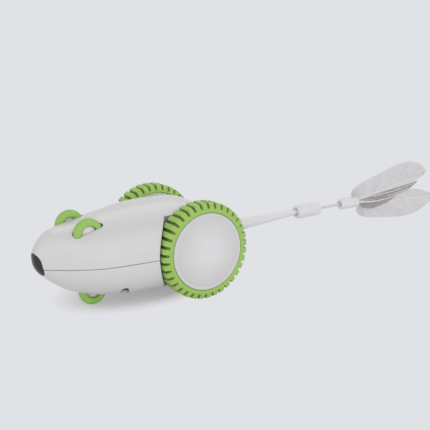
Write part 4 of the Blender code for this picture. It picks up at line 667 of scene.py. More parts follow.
def lower_features():
    """Everything that stands inside the lower shell."""
    across, along = (half + DOOR_LEDGE + BAY_WALL for half in BAY_HALF)
    return [
        slot_box(*small_wheels()[0], -1),
        rib("belly_plate", (-BODY_HALF_WIDTH, -BODY_NOSE, -OVERRUN),
            (BODY_HALF_WIDTH, BODY_REAR, BELLY_FLAT_Z + WALL)),
        rib("battery_box", (-across, BATTERY_Y - along, -OVERRUN),
            (across, BATTERY_Y + along, BAY_ROOF_Z + 1.4 * MM)),
        upright_rod("door_screw_post", 0, DOOR_SCREW_Y, 0, 19.0 * MM, SCREW_R + GAP + WALL),
        *(flank_slot(f"{word}_flank_post", side, FLANK_RECESS_R + 1.2 * MM, WALL) for side, word in SIDES),
    ]


def lower_cuts():
    """Spaces in the lower shell alone."""
    across, along = BAY_HALF
    ledge_x, ledge_y = across + DOOR_LEDGE, along + DOOR_LEDGE
    tab = TAB_HALF + GAP
    x, y = KNOB_HALF
    seat_x, seat_y = SWITCH_SEAT_HALF
    middle = SWITCH_Y + KNOB_TRAVEL / 2
    cuts = [
        slot_cut(*small_wheels()[0]),
        rib("battery_space", (-across, BATTERY_Y - along, BELLY_FLAT_Z),
            (across, BATTERY_Y + along, BAY_ROOF_Z)),
        rib("door_space", (-ledge_x, BATTERY_Y - ledge_y, -OVERRUN), (ledge_x, BATTERY_Y + ledge_y, LEDGE_Z),
            DOOR_CORNER),
        rib("door_tab_space", (-tab, BATTERY_Y + along, -OVERRUN),
            (tab, BATTERY_Y + ledge_y + TAB_REACH, LEDGE_Z), TAB_CORNER),
        upright_rod("door_screw_bore", 0, DOOR_SCREW_Y, 0, 16.6 * MM, SCREW_R + GAP),
    ]
    for post, post_x, post_y in post_places():
        cuts.append(upright_rod(f"{post}_recess", post_x, post_y, -OVERRUN, SCREW_SEAT_Z, SCREW_RECESS_R, 40))
        cuts.append(upright_rod(f"{post}_low_bore", post_x, post_y, 0, WHEEL_R + OVERRUN, SCREW_R + GAP))
    cuts += [flank_slot(f"{word}_flank_recess", side, FLANK_RECESS_R, 0.0) for side, word in SIDES]
    cuts.append(rib("knob_slot", (SWITCH_X - x - GAP, SWITCH_Y - y - GAP, -OVERRUN),
                    (SWITCH_X + x + GAP, SWITCH_Y + y + KNOB_TRAVEL + GAP, BELLY_FLAT_Z + WALL + OVERRUN)))
    cuts.append(rib("switch_seat", (SWITCH_X - seat_x, middle - seat_y, 10.1 * MM),
                    (SWITCH_X + seat_x, middle + seat_y, 14.7 * MM)))
    return cuts


def shell(name, node, low_z, high_z, features, cuts, kept, hole):
    """One half of the body: the form, less its hollow and its cuts, with what is kept in them."""
    form = body_form(name)
    hollow = body_form(f"{name}_hollow", WALL, 28, 2)
    combine(hollow, "DIFFERENCE", *features)
    combine(hollow, "UNION", *cuts)
    combine(hollow, "DIFFERENCE", *kept)
    span = BODY_HALF_WIDTH + OVERRUN
    half = rib(f"{name}_half", (-span, -NOSE_REACH - OVERRUN, low_z), (span, BODY_REAR + OVERRUN, high_z))
    combine(form, "INTERSECT", half)
    combine(form, "DIFFERENCE", hollow, hole)
    finish(form, "toy_body", WHITE, "body_white", node)
    paint_well_shade(form)


def body_shells():
    """Both shells of the body."""
    (roller, centre), *ears = small_wheels()
    reach = SMALL_PIN_HALF + GAP
    shell("body_lower", "lower_shell", BELLY_FLAT_Z, WHEEL_R - SEAM_GAP / 2,
          shared_features() + lower_features(), shared_cuts() + lower_cuts(), bosses(roller, centre),
          across_rod("roller_axle_hole", centre, -reach, reach, SMALL_AXLE_R + GAP))
    reach += EAR_X
    shell("body_upper", "upper_shell", WHEEL_R + SEAM_GAP / 2, WHEEL_R + BODY_TOP + OVERRUN,
          shared_features() + [slot_box(*ear, 1) for ear in ears],
          shared_cuts() + [slot_cut(*ear) for ear in ears]
          + [upright_rod(f"{post}_high_bore", x, y, 0, 45.8 * MM, SCREW_R + GAP)
             for post, x, y in post_places()],
          [boss for ear in ears for boss in bosses(*ear)],
          across_rod("ear_axle_hole", ears[0][1], -reach, reach, SMALL_AXLE_R + GAP))


def nose_lens():
    """The dark lens, a polar grid laid on the body's own tip, with a rounded edge."""
    form = body_form("lens_form", forward=LENS_PROUD)
    bm = bmesh.new()
    bm.from_mesh(form.data)
    tree = BVHTree.FromBMesh(bm)
    bm.free()
    turn = LENS_FRAME.to_3x3()
    ahead = -LENS_FRAME.col[2].to_3d()
    back = place(0, LENS_DEPTH - NOSE_REACH, LENS_Z)
    outline = oval((LENS_HALF_HEIGHT, LENS_HALF_WIDTH), LENS_POWER, 96)
    grid = [(share / 14, 0.0) for share in range(14)]
    grid += [(1 - 0.06 * (1 - math.sin(angle)), LENS_EDGE_R * (1 - math.cos(angle)))
             for angle in (0.0, 0.4, 0.8, 1.2, 1.57)]
    rings = []
    for share, drop in grid:
        bases = [back + turn @ Vector((x * share, y * share, 0)) for x, y in outline[:None if share else 1]]
        rings.append([tree.ray_cast(base + ahead * 60 * MM, -ahead)[0] - ahead * drop for base in bases])
    rings.append([back + turn @ Vector((x, y, 0)) for x, y in outline])
    finish(loft("lens", rings, caps=(-1,)), "toy_body", LENS, "lens_dark", "nose_lens")


# Big wheels

# Outer half of the tyre's section in millimetres: offset and radius of the lug, and where grooves
# cut it also those of the groove's floor and the share of the groove's width
TYRE_ROWS = (
    (7.00, 31.30), (7.00, 30.10), (7.10, 29.80), (7.40, 29.70), (7.85, 29.70), (8.15, 29.80),
    (8.28, 30.10), (8.30, 30.70), (8.28, 31.50), (8.22, 32.15), (8.12, 32.60, 8.08, 32.58, 0.45),
    (8.00, 33.00, 7.78, 32.92, 0.80), (7.80, 33.60, 7.32, 33.30, 0.95), (7.52, 34.30, 6.90, 33.62, 1.0),
    (7.15, 35.05, 6.40, 33.92, 1.0), (6.72, 35.80, 5.90, 34.16, 1.0), (6.30, 36.35, 5.40, 34.30, 1.0),
    (5.85, 36.72, 4.90, 34.38, 1.0), (5.30, 36.92, 4.40, 34.40, 1.0), (4.40, 37.00, 3.60, 34.40, 1.0),
    (2.20, 37.00, 1.80, 34.40, 1.0), (0.00, 37.00, 0.00, 34.40, 1.0),
)
TYRE_MIRRORED = slice(8, -1)
TYRE_INNER_EDGE = ((-8.28, 31.70), (-8.20, 31.45), (-8.00, 31.30))
# Rows of the lip's inner wall, shaded because the thin gap round the hub cap lies there
LIP_ROWS = range(1, 5)
GROOVE_STEPS = ((0.06, 0.15), (0.16, 0.62), (0.30, 0.92), (0.55, 1.0), (1.0, 1.0))

# Label, node, body, material, slot, steps, whether the profile is closed, and the profile in
# millimetres. The offsets of rim and cap are counted from the wheel's middle, the others from the toy's
WHEEL_PARTS = (
    ("rim", "rim", "wheel", RIM, "rim_white", 96, True, (
        (29.0, 6.7, 0), (31.0, 6.7, 0.3), (31.0, -7.5, 0.6), (24.0, -7.5, 0.4), (23.4, -7.0, 0.4),
        (12.0, -7.0, 0.4), (11.4, -7.5, 0.4), (2.3, -7.5, 0.2), (2.3, 3.0, 0.2), (5.0, 3.0, 0.4),
        (5.0, -5.7, 0.6), (29.0, -5.7, 0.6))),
    ("cap", "hub_cap", "wheel", SILVER, "cap_silver", 144, False, (
        (0, 9.88, 0), (9.0, 9.74, 3), (18.0, 9.32, 4), (24.5, 8.86, 2), (26.6, 8.55, 0.5),
        (27.0, 8.42, 0.2), (27.35, 8.72, 0.3), (28.9, 8.72, 0.35), (29.4, 8.2, 0.25), (29.4, 7.0, 0.1),
        (28.7, 7.0, 0), (28.7, 5.8, 0.3), (0, 5.8, 0))),
    ("axle", "axle", "wheel", STEEL, "steel", 32, False, (
        (0, 13.5, 0), (2.0, 13.5, 0.2), (2.0, 41.8, 0.2), (1.1, 41.8, 0.1), (1.1, 34.8, 0), (0, 34.8, 0))),
    ("bush", "axle_bush", "toy", BRASS, "bush_brass", 48, True, (
        (2.3, 30.5, 0.1), (3.4, 30.5, 0.2), (3.4, 27.9, 0), (4.6, 27.9, 0.1), (4.6, 26.9, 0.1),
        (2.3, 26.9, 0.1))),
)


def tyre_columns(width):
    """Angles off a lug's middle and depths of the samples across half a sector."""
    pitch = math.pi / LUG_COUNT
    groove = (pitch - LUG_HALF_ANGLE) * width
    lug = pitch - groove
    columns = [(0.0, 0.0), (lug * 0.5, 0.0), (lug * 0.93, 0.0)]
    return columns + [(lug + groove * share, depth) for share, depth in GROOVE_STEPS]


def big_tyre(side, word):
    """A tyre whose lugs run across the tread and end in a smooth side band."""
    rows = [row if len(row) > 2 else (*row, *row, 0.0) for row in TYRE_ROWS]
    rows += [(-a, b, -c, d, width) for a, b, c, d, width in reversed(rows[TYRE_MIRRORED])]
    rows += [(*row, *row, 0.0) for row in TYRE_INNER_EDGE]
    rings, depths = [], []
    for index, (offset, radius, low_offset, low_radius, width) in enumerate(rows):
        half = tyre_columns(max(width, 0.02))
        columns = [(-angle, depth) for angle, depth in reversed(half[1:-1])] + half
        ring = []
        for lug in range(LUG_COUNT):
            for angle, depth in columns:
                share = depth if width else 0.0
                turn = lug * math.tau / LUG_COUNT + angle - math.pi / 2
                r = (radius + (low_radius - radius) * share) * MM
                x = side * (offset + (low_offset - offset) * share) * MM
                ring.append((x, r * math.cos(turn), r * math.sin(turn)))
                depths.append(share * min(width * 1.1, 1.0) if width else float(index in LIP_ROWS))
        rings.append(ring)
    centre = Matrix.Translation(place(side * WHEEL_X, 0, WHEEL_R))
    tyre = loft(f"{word}_wheel_tyre", rings, centre, closed=True)
    tyre.data.attributes.new("groove", "FLOAT", "POINT").data.foreach_set("value", depths)
    finish(tyre, f"{word}_wheel", GREEN, "green_rubber", f"{word}_tyre", sharp=50)


def wheel_parts(side, word):
    """Rim, hub cap, axle and bush of one wheel."""
    hub = place(side * WHEEL_X, 0, WHEEL_R)
    for label, node, body, made, slot, steps, closed, corners in WHEEL_PARTS:
        centre = hub if label in ("rim", "cap") else AXLE
        piece = lathe(f"{word}_wheel_{label}", rounded(corners, closed), centre, ALONG_X, steps, closed, side)
        finish(piece, "toy_body" if body == "toy" else f"{word}_wheel", made, slot, f"{word}_{node}")


# Small wheels

def small_wheel(name, centre):
    """A smooth round tyre on a white hub with a domed face on each side."""
    middle = SMALL_R - SMALL_SECTION_R
    reach = math.acos((SMALL_BORE_R - middle) / SMALL_SECTION_R)
    angles = [reach * (1 - 2 * index / 27) for index in range(28)]
    profile = [(middle + SMALL_SECTION_R * math.cos(angle), SMALL_SECTION_R * math.sin(angle))
               for angle in angles]
    tyre = lathe(f"{name}_wheel_tyre", profile, centre, steps=112, closed=True)
    finish(tyre, name, GREEN_SMALL, "green_rubber", f"{name}_tyre")
    edge, face, bore = SMALL_BORE_R - GAP, SMALL_HUB_DOME, SMALL_AXLE_R + GAP
    half = [(bore, face, 0.15 * MM), (1.8 * MM, face, 0.8 * MM), (3.6 * MM, face * 0.92, 1.6 * MM),
            (5.2 * MM, face * 0.68, 1.2 * MM), (edge, SMALL_HUB_EDGE, 0.3 * MM)]
    corners = half + [(r, -h, fillet) for r, h, fillet in reversed(half)]
    hub = lathe(f"{name}_wheel_hub", rounded(corners, closed=True, unit=1), centre, steps=80, closed=True)
    finish(hub, name, WHITE_HUB, "rim_white", f"{name}_hub")


def pin(name, half, centre, node):
    """A steel pin across the toy with slightly rounded ends."""
    profile = rounded(((0, half, 0), (SMALL_AXLE_R, half, 0.25 * MM), (SMALL_AXLE_R, -half, 0.25 * MM),
                       (0, -half, 0)), unit=1)
    finish(lathe(name, profile, centre, steps=32), "toy_body", STEEL, "steel", node)


# Tail

# Reach and radius in millimetres of the stalk's root with its collar, and of the peg at its tip
STALK_ROOT = ((25.0, 0.0), (25.0, 4.4), (25.2, 4.6), (29.0, 4.6), (29.0, 7.9), (29.3, 8.2), (30.7, 8.2),
              (31.0, 7.9), (31.0, 6.1), (36.0, 6.1))
STALK_PEG = ((116.25, 2.25), (116.3, 2.1), (128.6, 2.1), (129.0, 1.7), (129.0, 0.0))
TAPER_ROWS = 24

# Name, start, material, slot, node, steps round, steps in a fillet, and the profile in millimetres
TAIL_PARTS = (
    ("sleeve", SLEEVE_Y, TAIL, "tail_grey", "tail_sleeve", 80, 8, (
        (0, 23.1, 0), (1.25, 23.1, 0), (1.25, 26.9, 0.3), (3.3, 26.9, 0.8), (5.0, 26.0, 1.2),
        (5.7, 23.6, 2.0), (5.7, 4.2, 2.0), (5.0, 2.1, 1.2), (3.5, 1.5, 0.5), (2.9, 2.8, 0.4),
        (2.4, 3.2, 0.2), (2.4, 13.0, 0), (0, 13.0, 0))),
    ("wire", SLEEVE_Y, WIRE, "steel", "tail_wire", 32, 4, (
        (0, 23.4, 0), (1.12, 23.4, 0.2), (1.12, 57.4, 0.2), (0, 57.4, 0))),
    ("ferrule", FERRULE_Y, TAIL, "tail_grey", "feather_ferrule", 80, 8, (
        (0, 17.2, 0), (2.8, 17.2, 0), (2.8, 21.4, 0.4), (4.3, 21.4, 0.6), (4.8, 20.4, 0.8),
        (4.8, 4.0, 1.8), (4.2, 2.3, 1.0), (2.7, 1.8, 0.5), (2.7, 2.6, 0.4), (1.25, 3.0, 0.2),
        (1.25, 9.3, 0), (0, 9.3, 0))),
)


def tail_point(reach):
    """Point on the pull-off end's axis at a reach behind the wheel axle."""
    return place(0, STALK_TIP_Y, WHEEL_R) + TAIL_FRAME.col[2].to_3d() * (reach - STALK_TIP_Y)


def framed_ring(centre, turn, radius):
    """A ring of points round a centre in a frame, or the centre alone."""
    points = ring_points(radius * MM, 0, 64) if radius else [(0, 0, 0)]
    return [centre + turn.to_3x3() @ Vector(point) for point in points]


def tail_stalk():
    """The tapered stalk with its collar, and the peg at its tip that follows the droop."""
    shares = [1 - row / TAPER_ROWS for row in range(1, TAPER_ROWS + 1)]
    taper = [(116.0 - 80.0 * share, 2.5 + 3.6 * share ** 1.15) for share in shares]
    rings = [framed_ring(place(0, y * MM, WHEEL_R), ALONG_Y, radius) for y, radius in (*STALK_ROOT, *taper)]
    rings += [framed_ring(tail_point(reach * MM), TAIL_FRAME, radius) for reach, radius in STALK_PEG]
    finish(loft("stalk", rings), "toy_body", TAIL, "tail_grey", "tail_stalk")


def tail_end():
    """Sleeve, wire and ferrule of the pull-off end."""
    for name, start, made, slot, node, steps, fillet_steps, corners in TAIL_PARTS:
        profile = rounded(corners, steps=fillet_steps)
        finish(lathe(name, profile, tail_point(start), TAIL_FRAME, steps), "tail_end", made, slot, node)


# Feathers

# Rows from root to tip, in millimetres: the quill, the vane's upper edge and its lower edge, each as
# a distance off the middle, a reach behind the wheel axle and a height
FEATHERS = {
    "upper": (
        (0.3, 188.4, 36.1, 0.2, 180.6, 40.2, 0.5, 189.0, 35.4),
        (0.3, 189.2, 36.3, -0.1, 181.6, 44.6, 0.5, 190.4, 35.5),
        (0.3, 190.6, 36.5, -0.4, 187.2, 48.4, 0.6, 192.4, 35.7),
        (0.4, 193.6, 37.0, -0.6, 196.0, 51.4, 0.7, 196.6, 36.1),
        (0.6, 199.0, 37.7, -0.8, 208.0, 54.4, 0.9, 203.6, 36.8),
        (0.8, 208.0, 38.9, -1.0, 222.0, 57.7, 1.2, 214.0, 37.8),
        (1.1, 219.0, 40.5, -0.7, 237.0, 61.0, 1.6, 226.0, 39.4),
        (1.4, 232.0, 42.4, 0.0, 250.0, 61.9, 1.9, 239.0, 41.1),
        (1.6, 246.0, 44.5, 0.8, 261.0, 59.2, 2.1, 252.0, 42.7),
        (1.8, 257.0, 46.2, 1.4, 267.6, 54.2, 2.2, 261.0, 44.4),
        (1.9, 265.0, 47.5, 1.8, 270.8, 50.6, 2.1, 267.0, 46.4),
        (2.0, 268.4, 48.2, 2.0, 271.4, 49.2, 2.0, 270.6, 48.0),
    ),
    "lower": (
        (-0.2, 189.2, 32.2, -0.4, 190.0, 33.4, 0.2, 186.6, 28.2),
        (-0.2, 190.2, 32.1, -0.5, 191.4, 33.2, 0.2, 187.8, 24.0),
        (-0.3, 192.6, 31.8, -0.7, 195.0, 32.8, 0.1, 193.0, 20.0),
        (-0.4, 198.0, 31.2, -0.9, 203.0, 32.6, -0.2, 204.0, 16.9),
        (-0.6, 207.0, 30.1, -1.3, 214.0, 32.8, -0.8, 219.0, 14.2),
        (-0.8, 219.0, 28.8, -1.8, 228.0, 33.6, -1.6, 234.0, 11.6),
        (-1.1, 232.0, 27.6, -2.3, 241.0, 35.2, -2.4, 248.0, 10.1),
        (-1.4, 245.0, 26.6, -2.6, 251.0, 35.8, -2.8, 261.0, 10.9),
        (-1.6, 257.5, 25.8, -2.6, 261.0, 34.2, -2.7, 271.5, 13.8),
        (-1.8, 269.0, 25.1, -2.4, 272.0, 30.6, -2.4, 279.5, 17.8),
        (-1.9, 279.0, 24.4, -2.2, 281.0, 27.0, -2.1, 285.0, 21.0),
        (-2.0, 284.5, 23.8, -2.0, 287.2, 24.4, -2.0, 287.2, 22.8),
    ),
    "near": (
        (1.8, 189.5, 34.0, 1.6, 189.5, 34.8, 2.2, 188.6, 32.0),
        (2.8, 194.4, 33.4, 2.4, 195.6, 35.0, 3.4, 192.6, 28.6),
        (4.2, 202.0, 32.8, 3.8, 204.2, 35.2, 5.0, 200.0, 27.0),
        (5.6, 209.6, 32.9, 5.2, 212.8, 35.2, 6.4, 208.8, 28.0),
        (7.0, 217.2, 33.4, 6.6, 220.4, 34.9, 7.6, 217.6, 30.4),
        (8.1, 223.0, 33.9, 7.8, 225.4, 34.8, 8.4, 223.4, 32.6),
        (8.8, 226.4, 34.3, 8.6, 227.4, 34.6, 8.9, 226.8, 34.0),
    ),
    "far": (
        (-1.7, 190.6, 35.2, -1.6, 190.0, 36.0, -1.9, 190.6, 34.2),
        (-2.8, 202.6, 35.2, -2.6, 203.6, 36.4, -3.2, 204.0, 33.0),
        (-4.2, 219.0, 34.9, -4.0, 221.0, 37.0, -4.6, 220.6, 31.4),
        (-5.6, 235.4, 34.9, -5.4, 237.4, 37.5, -6.0, 237.0, 30.2),
        (-6.8, 247.6, 35.4, -6.6, 249.6, 37.9, -7.0, 249.0, 30.9),
        (-7.8, 258.6, 36.6, -7.6, 260.6, 38.5, -8.0, 260.4, 33.6),
        (-8.5, 266.6, 38.0, -8.4, 268.2, 38.9, -8.6, 268.6, 36.9),
        (-8.9, 270.4, 38.8, -8.8, 271.2, 39.0, -8.9, 271.0, 38.6),
    ),
}
VANE_STEPS = 20
BARB_COLUMNS = 10
VANE_THICK = 0.12 * MM


def feather_rows(name):
    """Quill, upper edge and lower edge of a feather at close steps along it."""
    rows = smooth_rows(FEATHERS[name], VANE_STEPS)
    return [[place(*(value * MM for value in row[start:start + 3])) for start in (0, 3, 6)] for row in rows]


def vane(name, made, crown):
    """The vane: barbs that run from the quill to either edge, cupped, with a few splits."""
    rng = random.Random(name)
    rows = feather_rows(name)
    points, barbs, outs, faces = [], [], [], []
    for side, edge in ((1, 1), (-1, 2)):
        base = len(points)
        short = 0.0
        for index, row in enumerate(rows):
            if rng.random() < 0.012:
                short = rng.uniform(0.03, 0.08)
            short *= 0.6
            reach = 1 - short - rng.uniform(0, 0.004)
            start, end = row[0], row[edge]
            for column in range(BARB_COLUMNS):
                out = column / (BARB_COLUMNS - 1)
                bulge = crown * MM * math.sin(math.pi * out * 0.8) * min((end - start).length / (9 * MM), 1.0)
                points.append(start.lerp(end, out * reach) + Vector((bulge, 0, 0)))
                barbs.append(index / len(rows) + (2 if side < 0 else 0))
                outs.append(out)
        for index in range(len(rows) - 1):
            for column in range(BARB_COLUMNS - 1):
                a = base + index * BARB_COLUMNS + column
                quad = (a, a + 1, a + BARB_COLUMNS + 1, a + BARB_COLUMNS)
                faces.append(quad if side > 0 else quad[::-1])
    piece = skin(f"feather_{name}_vane", points, faces)
    for label, values in (("barb", barbs), ("out", outs)):
        piece.data.attributes.new(label, "FLOAT", "POINT").data.foreach_set("value", values)
    solid = piece.modifiers.new("thickness", "SOLIDIFY")
    solid.thickness = VANE_THICK
    solid.offset = 0.0
    finish(piece, "tail_end", made, "feather", f"feather_{name}", sharp=60)


def quill(name):
    """The quill, round where the ferrule holds it and tapering to the vane's tip."""
    along = TAIL_FRAME.col[2].to_3d() * MM
    line = [row[0] for row in feather_rows(name)[::5]]
    line = [line[0] - along * 6.0, line[0] - along * 2.0, *line]
    rings = []
    for index, centre in enumerate(line):
        ahead = (line[min(index + 1, len(line) - 1)] - line[max(index - 1, 0)]).normalized()
        across = ahead.cross(Vector((1, 0, 0))).normalized()
        circle = ring_points((0.68 - 0.5 * index / len(line)) * MM, 0, 12)
        rings.append([centre + across * x + ahead.cross(across) * y for x, y, _ in circle])
    finish(loft(f"feather_{name}_quill", rings, caps=(0, -1)), "tail_end", QUILL, "feather")


def feather_material(name, colour, streak_colour, alpha):
    """Soft vane: streaks along the barbs, painted shade towards the root and thinner towards the edge."""
    made = material(name, colour, 0.75, patch=90.0, relief=0.0)
    tree = made.node_tree
    barb, out = attribute(made, "barb"), attribute(made, "out")
    grid = add(tree, "CombineXYZ", X=maths(tree, "MULTIPLY", barb, 42.0), Y=maths(tree, "MULTIPLY", out, 0.9))
    streak = noise(tree, 1.0, 4.0, grid.outputs["Vector"])
    tint(made, ranged(tree, streak, 0.0, 0.6), streak_colour)
    # Painted shade towards the feather's root.
    tint(made, ranged(tree, maths(tree, "MODULO", barb, 2.0), 0.7, 0.0, 0.02, 0.30), ROOT_SHADE_COLOUR)
    body = ranged(tree, streak, alpha * 0.85, alpha * 1.15)
    edge = ranged(tree, out, 1.0, 0.8, 0.85, 1.0)
    feed(tree, tree.nodes["Principled BSDF"].inputs["Alpha"], maths(tree, "MULTIPLY", body, edge))
    return made


# Small parts of the belly

def belly_screw(name, body, x, y, seat_z, head, length, node):
    """A domed screw that points up, with a cross recess in its head."""
    profile = rounded((
        (0, length, 0), (SCREW_R * 0.4, length, 0), (SCREW_R, length - SCREW_R, 0.3 * MM), (SCREW_R, 0, 0),
        (SCREW_HEAD_R, 0, 0.1 * MM), (SCREW_HEAD_R, -head * 0.45, 0.3 * MM),
        (SCREW_HEAD_R * 0.62, -head, 0.8 * MM), (0, -head, 0),
    ), unit=1)
    screw = lathe(name, profile, place(x, y, seat_z), UPRIGHT, 40)
    bottom = seat_z - head
    for a, b in (SCREW_CROSS, SCREW_CROSS[::-1]):
        arm = rib(f"{name}_recess", (x - a, y - b, bottom - OVERRUN), (x + a, y + b, bottom + head * 0.5))
        combine(screw, "DIFFERENCE", arm)
    finish(screw, body, STEEL, "steel", node, sharp=40)


def belly_door():
    """The battery door, trimmed to the belly's curve, with its tab and grip grooves."""
    half_x, half_y = (half + DOOR_LEDGE - GAP for half in BAY_HALF)
    front, rear = BATTERY_Y - half_y, BATTERY_Y + half_y
    door = rib("door", (-half_x, front, BELLY_FLAT_Z), (half_x, rear, DOOR_TOP_Z), DOOR_CORNER)
    combine(door, "UNION", rib("door_tab", (-TAB_HALF, rear - DOOR_CORNER, BELLY_FLAT_Z),
                               (TAB_HALF, rear + TAB_REACH, DOOR_TOP_Z), TAB_CORNER))
    combine(door, "INTERSECT", body_form("door_trim", 0.0, 96, 5))
    for index in range(5):
        ends = [place(x * MM, front + (5.0 + index * 2.2) * MM, 7.6 * MM) for x in (-7.6, 7.6)]
        combine(door, "DIFFERENCE", rod(f"grip_{index}", *ends, 0.9 * MM, ALONG_X, 16))
    combine(door, "DIFFERENCE",
            upright_rod("head_recess", 0, DOOR_SCREW_Y, -OVERRUN, 8.8 * MM, SCREW_HEAD_R + GAP, 40),
            upright_rod("shank_hole", 0, DOOR_SCREW_Y, 0, 13.0 * MM, SCREW_R + GAP))
    finish(door, "door", WHITE, "body_white", "battery_door")


def switch_knob():
    """The ridged slide knob with its stem."""
    x, y = KNOB_HALF
    knob = rib("knob", (SWITCH_X - x, SWITCH_Y - y, 8.0 * MM), (SWITCH_X + x, SWITCH_Y + y, 9.3 * MM))
    bevel = knob.modifiers.new("edges", "BEVEL")
    bevel.width = 0.25 * MM
    bevel.segments = 3
    combine(knob, "UNION", rib("knob_stem", (SWITCH_X - KNOB_STEM_HALF, SWITCH_Y - KNOB_STEM_HALF, 8.65 * MM),
                               (SWITCH_X + KNOB_STEM_HALF, SWITCH_Y + KNOB_STEM_HALF, 11.6 * MM)))
    for index in (-1, 0, 1):
        ends = [place(SWITCH_X + side * (x + OVERRUN), SWITCH_Y + index * 1.5 * MM, 7.95 * MM)
                for side in (-1, 1)]
        combine(knob, "DIFFERENCE", rod("knob_groove", *ends, 0.42 * MM, ALONG_X, 12))
    finish(knob, "power_knob", BLACK, "black_plastic", "switch_knob")


def battery(index):
    """A jacketed cell with a crimped steel end and its nub. Every second cell points the other way."""
    half = BATTERY_LENGTH / 2 / MM
    profile = rounded((
        (0, half, 0), (1.9, half, 0.2), (1.9, half - 0.8, 0.1), (4.5, half - 0.8, 0.1),
        (4.65, half - 1.0, 0.1), (5.25, half - 0.8, 0.3), (5.25, -half, 0.35), (3.9, -half, 0.1),
        (3.8, -half + 0.15, 0.1), (0, -half + 0.15, 0),
    ))
    centre = place((index - 1) * BATTERY_PITCH, BATTERY_Y, BATTERY_Z)
    cell = lathe(f"cell_{index + 1}", profile, centre, ALONG_Y, 56, side=-1 if index % 2 else 1)
    finish(cell, "toy_body", CELL, "battery_case", f"battery_{index + 1}")


# Painted shade, painted reflection and markings that need the piece's own shape

def paint_shades_and_markings():
    """Painted shade in the grooves and screw recesses, painted reflection on the rims, painted shading on the
    hub caps, and the caps' rings, battery ends, board traces and chips.
    """
    tint(GREEN, maths(GREEN.node_tree, "MULTIPLY", attribute(GREEN, "groove"), GROOVE_SHADE), GROOVE_SHADE_COLOUR)
    tree = BOARD.node_tree
    bricks = add(tree, "TexBrick", Scale=260.0, Mortar_Size=0.06, Vector=own_point(tree))
    tint(BOARD, bricks.outputs["Fac"], (0.05, 0.30, 0.11))
    for made, value, start, end, colour in (
            # Painted shade: the screw recesses' walls turn dark above 11.2 mm.
            (RECESS_SHADE, own_axes(RECESS_SHADE)["Z"], 11.2, 12.3, (0.07, 0.045, 0.045)),
            # Painted reflection: the rim's outer band takes a green tint from the tyre beside it.
            (RIM, spin_radius(RIM), 25.0, 30.0, (0.66, 0.69, 0.54)),
            # Painted shading: the hub cap's face darkens from its middle towards its edge.
            (SILVER, spin_radius(SILVER), 7.0, 26.5, (0.70, 0.695, 0.705)),
            (SILVER, spin_radius(SILVER), 26.9, 27.2, (0.735, 0.735, 0.75)),
            (CELL, spin_radius(CELL), 4.9, 4.7, (0.55, 0.55, 0.56)),
            (BOARD, own_axes(BOARD)["Z"], 29.75, 29.85, (0.02, 0.02, 0.022))):
        tint(made, ranged(made.node_tree, value, 0.0, 1.0, start * MM, end * MM), colour)


def dress_solids():
    """Give every solid that still shows its own finish."""
    for made, names in (
            (STEEL, ("idler_shaft", "left_motor", "right_motor", "front_contact_plate", "rear_contact_plate",
                     "left_wheel_screw", "right_wheel_screw")),
            (CREAM, ("left_wheel_gear", "right_wheel_gear", "left_idler_gear", "right_idler_gear")),
            (BRASS, ("left_pinion", "right_pinion")),
            (WHITE_HUB, ("left_gearbox_base", "right_gearbox_base", "left_gearbox_cover",
                         "right_gearbox_cover")),
            (BOARD, ("circuit_board",)), (BLACK, ("switch_body", "ir_receiver")), (DIODE, ("ir_emitter",))):
        for name in names:
            mesh = frame["nodes"][name].data
            mesh.materials.clear()
            mesh.materials.append(made)


# Stage, lights and camera

def floor():
    """A wide pale floor that fades into the background and can be seen through from below."""
    made = bpy.data.materials.new("floor")
    made.use_nodes = True
    tree = made.node_tree
    tree.nodes.clear()
    rays = add(tree, "LightPath").outputs
    seen = maths(tree, "MAXIMUM", rays["Is Camera Ray"], rays["Is Glossy Ray"])
    pale = mixed(tree, noise(tree, 3.0), tuple(level * 0.995 for level in FLOOR_BRIGHT), FLOOR_BRIGHT)
    diffuse = add(tree, "BsdfDiffuse", Color=mixed(tree, seen, FLOOR_PLAIN, pale)).outputs["BSDF"]
    spot = own_point(tree)
    for operation, vector in (("SUBTRACT", FADE_CENTRE), ("DIVIDE", FADE_SIZE)):
        spot = maths(tree, operation, spot, vector, kind="VectorMath", result="Vector")
    far = ranged(tree, maths(tree, "LENGTH", spot, kind="VectorMath"), 0.0, 1.0, *FADE_REACH)
    # Painted shadow tint: near the toy the glow is warmer and covers less, so the toy's shadow reads
    # brownish; further out the plain glow takes over and paints the shadow away.
    glow = add(tree, "Emission", Strength=1.0, Color=mixed(tree, far, FLOOR_WARM, FLOOR_COLOUR))
    share = maths(tree, "MULTIPLY", maths(tree, "MAXIMUM", far, FLOOR_GLOW_SHARE), seen)
    top = blended(tree, share, diffuse, glow.outputs["Emission"])
    behind = add(tree, "NewGeometry").outputs["Backfacing"]
    clear = add(tree, "BsdfTransparent").outputs["BSDF"]
    add(tree, "OutputMaterial", Surface=blended(tree, behind, top, clear))
    corners = [(x * FLOOR_HALF, y * FLOOR_HALF, 0) for x, y in ((-1, -1), (1, -1), (1, 1), (-1, 1))]
    obj = skin("floor", corners, [(0, 1, 2, 3)])
    obj.data.materials.append(made)
    WORKSHOP.objects.unlink(obj)
    bpy.context.scene.collection.objects.link(obj)


